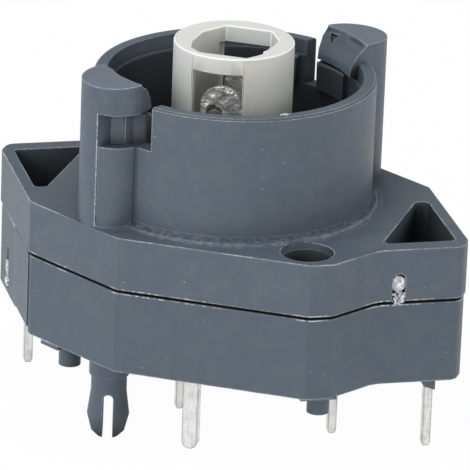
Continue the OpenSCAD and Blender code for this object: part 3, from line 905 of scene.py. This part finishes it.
@dataclass(frozen=True)
class RolledStrip:
    """Stamped metal strip with rolling lines along one direction and a few stains."""

    name: str
    colour: Colour
    stain: Colour
    roughness: float = 0.32
    lines: Point = (0.6, 14.0, 14.0)
    line_depth: float = 0.006
    line_rough: float = 0.15
    stained: Patches = Patches(0.7, 0.48, 0.75, detail=4, rough=0.6)
    stain_strength: float = 0.5

    def build(self) -> bpy.types.Material:
        """Builds the material.

        Returns:
            The material.
        """
        graph = Graph.of_material(self.name)
        point = graph.place()
        rolling = graph.clouds(graph.stretched(point, self.lines), 1.0, 3)
        stains = self.stained.mask(graph, point) * self.stain_strength
        colour = graph.tint(self.colour, self.stain, stains)
        normal = graph.relief(rolling, self.line_depth)
        return graph.surface(base_color=colour, metallic=1.0, normal=normal,
                             roughness=self.roughness + rolling * self.line_rough)


@dataclass(frozen=True)
class SolidifiedMelt:
    """Clear plastic that was melted and froze: glossy, milky, with a few trapped dark crumbs."""

    name: str
    colour: Colour = srgb(172, 177, 184)
    pale: Colour = srgb(240, 242, 244)
    dark: Colour = srgb(66, 72, 80)
    milky: Patches = Patches(2.4, 0.4, 0.62, rough=0.65)
    crumbly: Patches = Patches(3.6, 0.53, 0.66, rough=0.7)
    crumbs: float = 0.8
    crumb_rough: float = 0.3
    waves_per_mm: float = 2.4
    wave: float = 0.05
    roughness: float = 0.12
    coat: float = 0.6
    coat_roughness: float = 0.08

    def build(self) -> bpy.types.Material:
        """Builds the material.

        Returns:
            The material.
        """
        graph = Graph.of_material(self.name)
        point = graph.place()
        crumbs = self.crumbly.mask(graph, point) * self.crumbs
        milk = graph.tint(self.colour, self.pale, self.milky.mask(graph, point))
        colour = graph.tint(milk, self.dark, crumbs)
        normal = graph.relief(graph.clouds(point, self.waves_per_mm, 3), self.wave)
        return graph.surface(base_color=colour, roughness=self.roughness + crumbs * self.crumb_rough,
                             normal=normal, coat_weight=self.coat, coat_roughness=self.coat_roughness)


@dataclass(frozen=True)
class PaperSweep:
    """Plain pale floor that keeps the object's shadow and reads nearly white to the camera."""

    name: str = "pale_floor"
    colour: Colour = srgb(244, 244, 244)
    lift: float = 0.97
    fibres_per_mm: float = 0.8
    fibre_tone: float = 0.02

    def build(self) -> bpy.types.Material:
        """Builds the material.

        Returns:
            The material.
        """
        graph = Graph.of_material(self.name)
        fibres = graph.clouds(graph.place(), self.fibres_per_mm, 3)
        fibres = fibres * self.fibre_tone + (1 - self.fibre_tone)
        matt = graph.node("ShaderNodeBsdfDiffuse", {}, {"Color": graph.shaded(self.colour, fibres)})
        white = graph.node("ShaderNodeEmission", {}, {"Color": WHITE, "Strength": 1.0})
        seen = graph.node("ShaderNodeLightPath", output="Is Camera Ray")
        mirrored = graph.node("ShaderNodeLightPath", output="Is Glossy Ray")
        lift = seen.most(mirrored) * self.lift
        return graph.ended(graph.node("ShaderNodeMixShader", {}, {0: lift, 1: matt, 2: white}))


COVER_MARKS = (
    # Painted shade inside the collar, below its lead-in.
    HollowShade(srgb(28, 32, 37), 0.66, radius=9.92, top=23.0),
    FlashLip(srgb(120, 124, 122), 0.8, radius=9.5, span=(22.42, 22.6)),
    # Painted highlight on the tops of the latch towers.
    TopHighlight(srgb(128, 137, 151), 0.36, low=23.9),
    # Painted shade on the lead-in slopes under the hooks.
    LeadInShade(srgb(44, 49, 57), 0.42, low=22.8),
    # Painted shade in the crease where the collar meets the latch tower.
    UprightLine(srgb(58, 65, 74), 0.65, place=(9.15, 6.11), span=(13.9, 20.3), half=0.2),
    UprightLine(srgb(205, 209, 214), 0.85, place=(12.17, 5.78), span=(13.9, 22.9), half=0.05, dotted=0.9),
    # Painted highlight: grazing light on the collar's edge beside the tower.
    UprightLine(srgb(190, 196, 203), 0.6, place=(10.95, 1.03), span=(13.9, 23.6), half=0.07, dotted=0.4),
    # Painted highlight on the upright end edge of the hook.
    UprightLine(srgb(128, 136, 147), 0.7, place=(8.97, 6.17), span=(22.95, 24.95), half=0.05, dotted=0.4),
    UprightLine(srgb(34, 38, 44), 0.9, place=(15.95, -0.95), span=(9.2, 9.9), half=0.14),
    PartingLine(srgb(14, 16, 19), 0.9, span=(9.3, 9.41), whole=1.0),
    PartingLine(srgb(206, 210, 215), 0.9, span=(9.44, 9.49)),
)
BASE_MARKS = (
    UprightLine(srgb(34, 38, 44), 0.9, place=(15.95, -0.95), span=(3.2, 9.3), half=0.14),
    PartingLine(srgb(14, 16, 19), 0.9, span=(9.16, 9.26), whole=1.0),
    PartingLine(srgb(206, 210, 215), 0.9, span=(9.07, 9.13)),
)
# The foot's wrinkles carry a painted highlight on their crests and painted shade in their troughs.
FOOT = RoughFoot((10.9, 11.8), (13.6, 14.1), srgb(128, 138, 150), srgb(56, 63, 72))
CALM = CalmZones(collar_radius=10.7, collar_top=24.0, tower=(11.0, 4.6), tower_radius=3.0, tower_foot=14.0)


class Finish(Enum):
    """The finishes of the block, by the part of it that they belong to."""

    COVER = MouldedPlastic("cover_plastic_dressed", srgb(80, 92, 105), srgb(87, 96, 105),
                           marks=COVER_MARKS, foot=FOOT, calm=CALM)
    # Painted highlight: a paler copy of the plastic for the rounded edges.
    COVER_EDGE = MouldedPlastic("cover_edge_highlight", srgb(88, 100, 114), srgb(94, 103, 113), all_edge=True,
                                marks=COVER_MARKS, foot=FOOT, calm=CALM)
    BASE = MouldedPlastic("base_plastic_dressed", srgb(76, 89, 102), srgb(82, 92, 101), marks=BASE_MARKS)
    # Painted highlight: a paler copy of the plastic for the rounded edges.
    BASE_EDGE = MouldedPlastic("base_edge_highlight", srgb(84, 96, 109), srgb(89, 98, 107), all_edge=True,
                               marks=BASE_MARKS)
    HOLDER = MouldedPlastic("holder_plastic_dressed", srgb(222, 225, 220), srgb(228, 226, 217), drift=0.025,
                            grain=0.008, roughness=0.4, specks=0.0, corner_shade=0.55,
                            rub_highlight_colour=srgb(252, 252, 251), rub_highlight_patches=0.1, rub_highlight_r=0.3)
    # Painted highlight: a paler copy of the plastic for the rounded edges.
    HOLDER_EDGE = MouldedPlastic("holder_edge_highlight", srgb(246, 247, 245), srgb(244, 244, 240), drift=0.025,
                                 grain=0.008, roughness=0.4, specks=0.0, corner_shade=0.55,
                                 rub_highlight_colour=srgb(246, 247, 246), rub_highlight_patches=0.25, all_edge=True)
    SLEEVE = MouldedPlastic("plunger_plastic_dressed", srgb(40, 43, 48), srgb(46, 47, 50), drift=0.12,
                            specks=0.2, speck_colour=srgb(120, 124, 128), rub_highlight_colour=srgb(104, 108, 114),
                            rub_highlight=0.5)
    # Painted highlight: a paler copy of the plastic for the rounded edges.
    SLEEVE_EDGE = MouldedPlastic("plunger_edge_highlight", srgb(46, 49, 54), srgb(50, 52, 55), drift=0.12, specks=0.2,
                                 speck_colour=srgb(120, 124, 128), rub_highlight_colour=srgb(104, 108, 114), rub_highlight=0.5,
                                 all_edge=True)
    TIN = TinnedMetal("tinned_dressed")
    BRONZE = RolledStrip("bronze_dressed", srgb(196, 160, 104), srgb(140, 104, 66))
    RIVET = TinnedMetal("rivet_dressed", colour=srgb(132, 131, 125), dull=srgb(84, 83, 79), metallic=0.5,
                        roughness=0.38)
    SILVER = RolledStrip("contact_silver_dressed", srgb(216, 216, 214), srgb(150, 148, 142),
                         lines=(6.0, 6.0, 6.0))
    WIRE = RolledStrip("spring_wire_dressed", srgb(188, 190, 194), srgb(120, 120, 122), roughness=0.25,
                       lines=(8.0, 8.0, 2.0))
    MELT = SolidifiedMelt("melt_dressed")

    def material(self) -> bpy.types.Material:
        """Gives the built material, which is made the first time it is asked for."""
        return bpy.data.materials.get(self.value.name) or self.value.build()


# Mesh helpers


def new_piece(name: str, mesh: bmesh.types.BMesh, finish: Finish, body: str) -> bpy.types.Object:
    """Turns a mesh in millimetres into a dressed piece that rides on a body.

    Args:
        name: Name of the piece.
        mesh: Geometry in millimetres; it is freed here.
        finish: Finish of the piece.
        body: Body that the piece rides on.

    Returns:
        The new object.
    """
    bmesh.ops.scale(mesh, vec=(MM, MM, MM), verts=mesh.verts)
    bmesh.ops.recalc_face_normals(mesh, faces=mesh.faces)
    data = bpy.data.meshes.new(name)
    mesh.to_mesh(data)
    mesh.free()
    data.shade_smooth()
    data.materials.append(finish.material())
    piece = bpy.data.objects.new(name, data)
    bpy.context.scene.collection.objects.link(piece)
    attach(piece, body)
    return piece


@dataclass(frozen=True)
class Dressing:
    """The finish of a CAD node, and a fine rounding of its sharp edges with a finish of its own, which on
    the plastics is a paler copy: a painted highlight on the rounding.

    The width and the weld distance are in millimetres, the angles in degrees.
    """

    skin: Finish
    edge: Finish
    width: float
    turn: float = 32.0
    steps: int = 2
    weld: float = 0.002
    flat: float = 0.6
    face_weight: int = 80

    def put_on(self, node: bpy.types.Object) -> bpy.types.Object:
        """Dresses a node, whose own mesh stays as it is.

        Args:
            node: The CAD node.

        Returns:
            The same node.
        """
        node.data.materials.clear()
        node.data.materials.append(self.skin.material())
        node.data.materials.append(self.edge.material())
        weld = node.modifiers.new("weld", "WELD")
        weld.merge_threshold = self.weld * MM
        flat = node.modifiers.new("flat", "DECIMATE")
        flat.decimate_type = "DISSOLVE"
        flat.angle_limit = math.radians(self.flat)
        bevel = node.modifiers.new("soft_edges", "BEVEL")
        bevel.width = self.width * MM
        bevel.segments = self.steps
        bevel.limit_method = "ANGLE"
        bevel.angle_limit = math.radians(self.turn)
        bevel.miter_outer = "MITER_ARC"
        bevel.use_clamp_overlap = False
        bevel.material = 1
        bevel.harden_normals = False
        smooth = node.modifiers.new("even_normals", "WEIGHTED_NORMAL")
        smooth.keep_sharp = False
        smooth.weight = self.face_weight
        return node


def swept(rings: Sequence[Sequence[Vector]]) -> bmesh.types.BMesh:
    """Skins rings of points into one tube with flat ends.

    Args:
        rings: Rings with the same number of points.

    Returns:
        The tube as a mesh.
    """
    mesh = bmesh.new()
    made = [[mesh.verts.new(p) for p in ring] for ring in rings]
    count = len(rings[0])
    for here, there in zip(made, made[1:]):
        for j in range(count):
            k = (j + 1) % count
            mesh.faces.new((here[j], here[k], there[k], there[j]))
    mesh.faces.new(list(reversed(made[0])))
    mesh.faces.new(made[-1])
    return mesh


@dataclass(frozen=True)
class Lump:
    """A rounded lump of plastic with an uneven skin; its seed chooses the unevenness."""

    centre: Point
    half: Point
    seed: int
    rough: float = 0.35
    levels: int = 3
    swells: float = 1.6
    octaves: int = 3
    seed_step: Point = (3.7, 1.9, 5.3)

    def mesh(self) -> bmesh.types.BMesh:
        """Makes the lump.

        Returns:
            The lump as a mesh in millimetres.
        """
        mesh = bmesh.new()
        bmesh.ops.create_icosphere(mesh, subdivisions=self.levels, radius=1.0)
        shift = Vector([step * self.seed for step in self.seed_step])
        for vert in mesh.verts:
            push = noise.fractal(vert.co * self.swells + shift, 0.9, 2.0, self.octaves)
            grown = vert.co * (1 + self.rough * push)
            vert.co = Vector([self.centre[i] + grown[i] * self.half[i] for i in range(3)])
        return mesh


def joined(lumps: Sequence[Lump]) -> bmesh.types.BMesh:
    """Makes one mesh of several lumps.

    Args:
        lumps: The lumps, which may run into each other.

    Returns:
        The mesh in millimetres.
    """
    mesh = bmesh.new()
    for one in lumps:
        part = one.mesh()
        data = bpy.data.meshes.new("lump")
        part.to_mesh(data)
        part.free()
        mesh.from_mesh(data)
        bpy.data.meshes.remove(data)
    return mesh


# Sub-assemblies


@dataclass
class Springs:
    """The return spring under the plunger and the small springs behind the bridges."""

    frame: dict
    coil_r: float = 6.1
    wire_r: float = 0.25
    turns: float = 4.0
    small_r: float = 0.72
    small_wire_r: float = 0.1
    small_turns: float = 5.0
    dead_turns: float = 0.6
    ease: float = 0.25
    tip_share: float = 0.35
    tip_growth: float = 8.0
    steps: int = 36
    sides: int = 12

    def build(self) -> list[bpy.types.Object]:
        """Makes the three springs.

        Returns:
            The springs.
        """
        return [self.return_spring(), self.bridge_spring("a"), self.bridge_spring("b")]

    def return_spring(self) -> bpy.types.Object:
        """Makes the spring between the lamp holder's flange and the plunger.

        Returns:
            The spring.
        """
        low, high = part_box("return_spring")
        mesh = self.helix(AXIS, self.coil_r, self.wire_r, low.z / MM, high.z / MM, self.turns)
        spring = new_piece("return_spring_wire", mesh, Finish.WIRE, "housing")
        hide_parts("return_spring")
        1 - self.reach_of("plunger_slide") / (high.z - low.z)
        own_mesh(spring)
        return spring

    def bridge_spring(self, side: str) -> bpy.types.Object:
        """Makes the small spring between an arm of the plunger and its bridge.

        Args:
            side: Ending of the bridge's name.

        Returns:
            The spring.
        """
        node, joint = "bridge_spring_" + side, "bridge_slide_" + side
        low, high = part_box(node)
        centre = ((low.x + high.x) / 2 / MM, (low.y + high.y) / 2 / MM)
        mesh = self.helix(centre, self.small_r, self.small_wire_r, low.z / MM, high.z / MM,
                          self.small_turns)
        spring = new_piece(node + "_wire", mesh, Finish.WIRE, "plunger")
        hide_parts(node)
        1 - self.reach_of(joint) / (high.z - low.z)
        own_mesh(spring)
        return spring

    def helix(self, centre: Plan, radius: float, wire: float, low: float, high: float,
              turns: float) -> bmesh.types.BMesh:
        """Makes a compression spring with closed ends.

        Args:
            centre: Plan position of the spring's axis.
            radius: Radius of the coil's middle line.
            wire: Radius of the wire.
            low: Height of the lower end.
            high: Height of the upper end.
            turns: Number of turns.

        Returns:
            The spring as a mesh.
        """
        count = int(turns * self.steps)
        bottom, top = low + wire, high - wire
        dead = self.dead_turns / turns
        up = Vector((0, 0, 1))
        around = [2 * math.pi * j / self.sides for j in range(self.sides)]
        rings = []
        for i in range(count + 1):
            share = i / count
            climb = min(max((share - dead) / (1 - 2 * dead), 0.0), 1.0)
            climb = climb * climb * (3 - 2 * climb) * self.ease + climb * (1 - self.ease)
            angle = 2 * math.pi * turns * share
            out = Vector((math.cos(angle), math.sin(angle), 0))
            middle = Vector((*centre, bottom + (top - bottom) * climb)) + out * radius
            thick = wire * min(1.0, self.tip_share + self.tip_growth * min(share, 1 - share))
            rings.append([middle + (out * math.cos(a) + up * math.sin(a)) * thick for a in around])
        return swept(rings)

    def reach_of(self, joint: str) -> float:
        """Gives the travel of a slide in metres.

        Args:
            joint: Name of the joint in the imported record.

        Returns:
            The travel.
        """
        rows = self.frame["record"]["behaviour"]["joints"]
        span = next(row["range_m"] for row in rows if row["name"] == joint)
        return abs(span[1] - span[0])


@dataclass
class LockPlugs:
    """Plugs of clear plastic that were melted into the slots between cover and base.

    A side plug is a smooth head over crumbs that reach down to the joint, with two bridges of melt
    across it. A tip plug is a drop with smaller drops that ran down below it.
    """

    plug_x: float = 10.2
    wing_reach: float = 13.6
    split_z: float = 9.2
    head_half: Point = (0.56, 0.34, 0.7)
    head_rise: float = 1.62
    head_depth: float = 0.2
    crumbs: int = 46
    crumb_half: Span = (0.06, 0.12)
    crumb_length: Span = (0.9, 1.6)
    crumb_reach: float = 0.44
    crumb_depth: float = 0.2
    crumbs_from: float = 0.1
    crumbs_rise: float = 0.85
    bridge_half: Point = (0.14, 0.1, 0.13)
    bridge_depth: float = 0.06
    bridge_shifts: Span = (-0.2, 0.06)
    tip_reach: float = 15.95
    tip_depth: float = 0.16
    tip_y: float = -9.4
    drop_z: float = 4.75
    drop_half: Point = (0.2, 0.34, 0.62)
    runs: int = 6
    run_z: float = 4.05
    run_step: float = 0.16
    run_reach: float = 0.42
    run_depth: float = 0.15
    run_half_y: Span = (0.14, 0.28)
    run_half_z: Span = (0.12, 0.2)
    burr: tuple[Lump, ...] = (Lump((1.5, -10.15, 23.84), (0.34, 0.12, 0.09), 33),
                              Lump((1.2, -10.17, 23.81), (0.2, 0.08, 0.06), 34))

    def build(self) -> list[bpy.types.Object]:
        """Makes the plugs in the wings' long sides and at their tips, and the crumb on the rim.

        Returns:
            The pieces.
        """
        made = []
        for turn, word in ((0, "front"), (180, "back")):
            made += [self.side_plug(turn, word), self.tip_plug(turn, word)]
        made.append(new_piece("rim_burr", joined(self.burr), Finish.MELT, "housing"))
        return made

    def side_plug(self, turn: int, word: str) -> bpy.types.Object:
        """Makes the upright plug in one long side.

        Args:
            turn: Turn about the block's axis, in degrees.
            word: Ending of the piece's name.

        Returns:
            The plug.
        """
        face = -self.wing_reach
        head = (self.plug_x - 0.02, face + self.head_depth, self.split_z + self.head_rise)
        lumps = [Lump(head, self.head_half, 3 + turn, rough=0.2, levels=4)]
        draw = random.Random(11 + turn)
        for i in range(self.crumbs):
            size = draw.uniform(*self.crumb_half)
            place = (self.plug_x + draw.uniform(-self.crumb_reach, self.crumb_reach),
                     face + draw.uniform(0.0, self.crumb_depth),
                     self.split_z + self.crumbs_from + self.crumbs_rise * i / self.crumbs)
            lumps.append(Lump(place, (size * draw.uniform(*self.crumb_length), size, size), 40 + i))
        for shift in self.bridge_shifts:
            place = (self.plug_x + shift, face + self.bridge_depth, self.split_z + 0.02)
            lumps.append(Lump(place, self.bridge_half, 70 + int(shift * 100), rough=0.3))
        return self.finish_plug(joined(lumps), turn, "melted_plug_" + word)

    def tip_plug(self, turn: int, word: str) -> bpy.types.Object:
        """Makes the drop of melt at one wing tip.

        Args:
            turn: Turn about the block's axis, in degrees.
            word: Ending of the piece's name.

        Returns:
            The plug.
        """
        out = self.tip_reach - self.tip_depth
        lumps = [Lump((out, self.tip_y, self.drop_z), self.drop_half, 21 + turn, rough=0.25, levels=4)]
        draw = random.Random(5 + turn)
        for i in range(self.runs):
            place = (out + draw.uniform(-0.05, 0.04),
                     self.tip_y + draw.uniform(-self.run_reach, self.run_reach),
                     self.run_z - self.run_step * i)
            half = (self.run_depth, draw.uniform(*self.run_half_y), draw.uniform(*self.run_half_z))
            lumps.append(Lump(place, half, 60 + i))
        return self.finish_plug(joined(lumps), turn, "melted_tip_" + word)

    @staticmethod
    def finish_plug(mesh: bmesh.types.BMesh, turn: int, name: str) -> bpy.types.Object:
        """Turns a plug to its side of the block and lets it stand for the CAD plugs.

        Args:
            mesh: Geometry in millimetres.
            turn: Turn about the block's axis, in degrees.
            name: Name of the piece.

        Returns:
            The plug.
        """
        bmesh.ops.rotate(mesh, cent=(0, 0, 0), matrix=Matrix.Rotation(math.radians(turn), 3, "Z"),
                         verts=mesh.verts)
        piece = new_piece(name, mesh, Finish.MELT, "housing")
        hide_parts("lock_plugs")
        return piece


@dataclass
class Shells:
    """The cover with its collar and latch towers, and the base with its pegs and standoffs."""

    frame: dict
    cover: Dressing = Dressing(Finish.COVER, Finish.COVER_EDGE, width=0.02)
    base: Dressing = Dressing(Finish.BASE, Finish.BASE_EDGE, width=0.02)

    def build(self) -> list[bpy.types.Object]:
        """Dresses both shells."""
        nodes = self.frame["nodes"]
        return [self.cover.put_on(nodes["cover"]), self.base.put_on(nodes["base"])]


@dataclass
class Core:
    """The pale lamp holder, the sprung plunger round it, and everything metal."""

    frame: dict
    holder: Dressing = Dressing(Finish.HOLDER, Finish.HOLDER_EDGE, width=0.12)
    sleeve: Dressing = Dressing(Finish.SLEEVE, Finish.SLEEVE_EDGE, width=0.06)
    strip: Dressing = Dressing(Finish.TIN, Finish.TIN, width=0.07, turn=30)
    bridge: Dressing = Dressing(Finish.BRONZE, Finish.BRONZE, width=0.05, turn=30)
    rivet: Dressing = Dressing(Finish.RIVET, Finish.RIVET, width=0.06, turn=30)
    button: Dressing = Dressing(Finish.SILVER, Finish.SILVER, width=0.06, turn=30)

    def build(self) -> list[bpy.types.Object]:
        """Dresses each node of the core.

        Returns:
            The dressed nodes.
        """
        found = ((self.dressing_of(name), node) for name, node in self.frame["nodes"].items())
        return [dressing.put_on(node) for dressing, node in found if dressing]

    def dressing_of(self, name: str) -> Optional[Dressing]:
        """Chooses the dressing of a node by its name.

        Args:
            name: Name of the node.

        Returns:
            The dressing, or None where another class dresses or replaces the node.
        """
        plain = {"lamp_holder": self.holder, "plunger": self.sleeve, "bridge_a": self.bridge,
                 "bridge_b": self.bridge}
        if name in plain:
            return plain[name]
        if name.startswith(("lamp_contact", "common", "upper_throw", "lower_throw")):
            return self.strip
        if "rivet" in name:
            return self.rivet
        return self.button if "buttons" in name else None


# Studio


@dataclass(frozen=True)
class SoftLamp:
    """A square soft lamp; its level is the light on a surface that faces it, as a share of white."""

    name: str
    place: Point
    side: float
    level: float
    colour: Colour = WHITE

    def hang(self, target: Point) -> None:
        """Hangs the lamp in its place.

        Args:
            target: Where it is aimed, in millimetres.
        """
        away = Vector(self.place) - Vector(target)
        data = bpy.data.lights.new(self.name, "AREA")
        data.shape = "SQUARE"
        data.size = self.side * MM
        data.color = self.colour
        data.energy = self.level * (math.pi * away.length * MM) ** 2
        lamp = bpy.data.objects.new(self.name, data)
        lamp.location = Vector(self.place) * MM
        lamp.rotation_euler = away.to_track_quat("Z", "Y").to_euler()
        bpy.context.scene.collection.objects.link(lamp)


@dataclass
class Studio:
    """Floor, light and the camera at the photograph's angle."""

    azimuth: float = -13.87
    elevation: float = 20.87
    roll: float = 2.23
    distance: float = 447.6
    target: Point = (0.0, 0.0, 10.22)
    lens: float = 435.9
    sensor: float = 36.0
    shift_x: float = 0.0115
    clip_m: Span = (0.01, 10.0)
    floor_z: float = -4.12
    floor_half: float = 700.0
    floor_rows: int = 24
    sweep_from: float = 0.6
    sweep_rise: float = 400.0
    world_level: float = 0.42
    lamps: tuple[SoftLamp, ...] = (
        SoftLamp("top", (-120, -60, 450), 260, 0.40),
        SoftLamp("key", (-290, -300, 170), 200, 0.36),
        SoftLamp("right", (350, -90, 170), 200, 0.26),
        SoftLamp("left", (-400, 260, 120), 200, 0.16, (0.82, 0.94, 1.16)),
    )

    def build(self) -> None:
        """Sets up the floor, the light and the camera."""
        self.floor()
        self.world()
        for lamp in self.lamps:
            lamp.hang(self.target)
        self.camera()
        LOG.info("Studio: floor, world, %d lamps, camera", len(self.lamps))

    def floor(self) -> None:
        """Makes the floor as a shallow sweep that rises far behind the block."""
        mesh = bmesh.new()
        rows = []
        for i in range(self.floor_rows + 1):
            share = 2 * i / self.floor_rows - 1
            height = self.floor_z + max(0.0, share - self.sweep_from) ** 2 * self.sweep_rise
            rows.append([mesh.verts.new((x * MM, share * self.floor_half * MM, height * MM))
                         for x in (-self.floor_half, 0.0, self.floor_half)])
        for low, high in zip(rows, rows[1:]):
            for j in range(2):
                mesh.faces.new((low[j], low[j + 1], high[j + 1], high[j]))
        data = bpy.data.meshes.new("floor")
        mesh.to_mesh(data)
        mesh.free()
        data.materials.append(PaperSweep().build())
        piece = bpy.data.objects.new("floor", data)
        bpy.context.scene.collection.objects.link(piece)

    def world(self) -> None:
        """Makes an even pale world that is white to the camera, also through clear pieces."""
        graph = Graph(bpy.data.worlds.new("studio_world"))
        seen = graph.node("ShaderNodeLightPath", output="Is Camera Ray")
        through = graph.node("ShaderNodeLightPath", output="Is Transmission Ray")
        light = graph.node("ShaderNodeBackground", {}, {"Color": WHITE, "Strength": self.world_level})
        white = graph.node("ShaderNodeBackground", {}, {"Color": WHITE, "Strength": 1.0})
        mixed = graph.node("ShaderNodeMixShader", {}, {0: seen.most(through), 1: light, 2: white})
        bpy.context.scene.world = graph.ended(mixed, "ShaderNodeOutputWorld")

    def camera(self) -> None:
        """Sets the camera where the photograph was taken from."""
        around, up = math.radians(self.azimuth), math.radians(self.elevation)
        tilt = math.radians(self.roll)
        back = Vector((math.sin(around) * math.cos(up), -math.cos(around) * math.cos(up), math.sin(up)))
        right = Vector((math.cos(around), math.sin(around), 0))
        above = back.cross(right)
        side = right * math.cos(tilt) + above * math.sin(tilt)
        head = above * math.cos(tilt) - right * math.sin(tilt)
        data = bpy.data.cameras.new("camera")
        data.lens = self.lens
        data.sensor_width = self.sensor
        data.shift_x = self.shift_x
        data.clip_start, data.clip_end = self.clip_m
        camera = bpy.data.objects.new("camera", data)
        place = (Vector(self.target) + back * self.distance) * MM
        camera.matrix_world = Matrix.Translation(place) @ Matrix((side, head, back)).transposed().to_4x4()
        bpy.context.scene.collection.objects.link(camera)
        bpy.context.scene.camera = camera


def main() -> None:
    """Loads the frame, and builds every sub-assembly in order."""
    logging.basicConfig(level=logging.INFO, format="%(name)s %(message)s", stream=sys.stdout)
    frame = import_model()
    bpy.context.scene.view_settings.view_transform = "Standard"
    for assembly in (Shells(frame), Core(frame), Springs(frame), LockPlugs()):
        for piece in assembly.build():
            LOG.info("%s: %s", type(assembly).__name__, piece.name)
    Studio().build()
    bpy.context.view_layer.update()


if __name__ == "__main__":
    main()
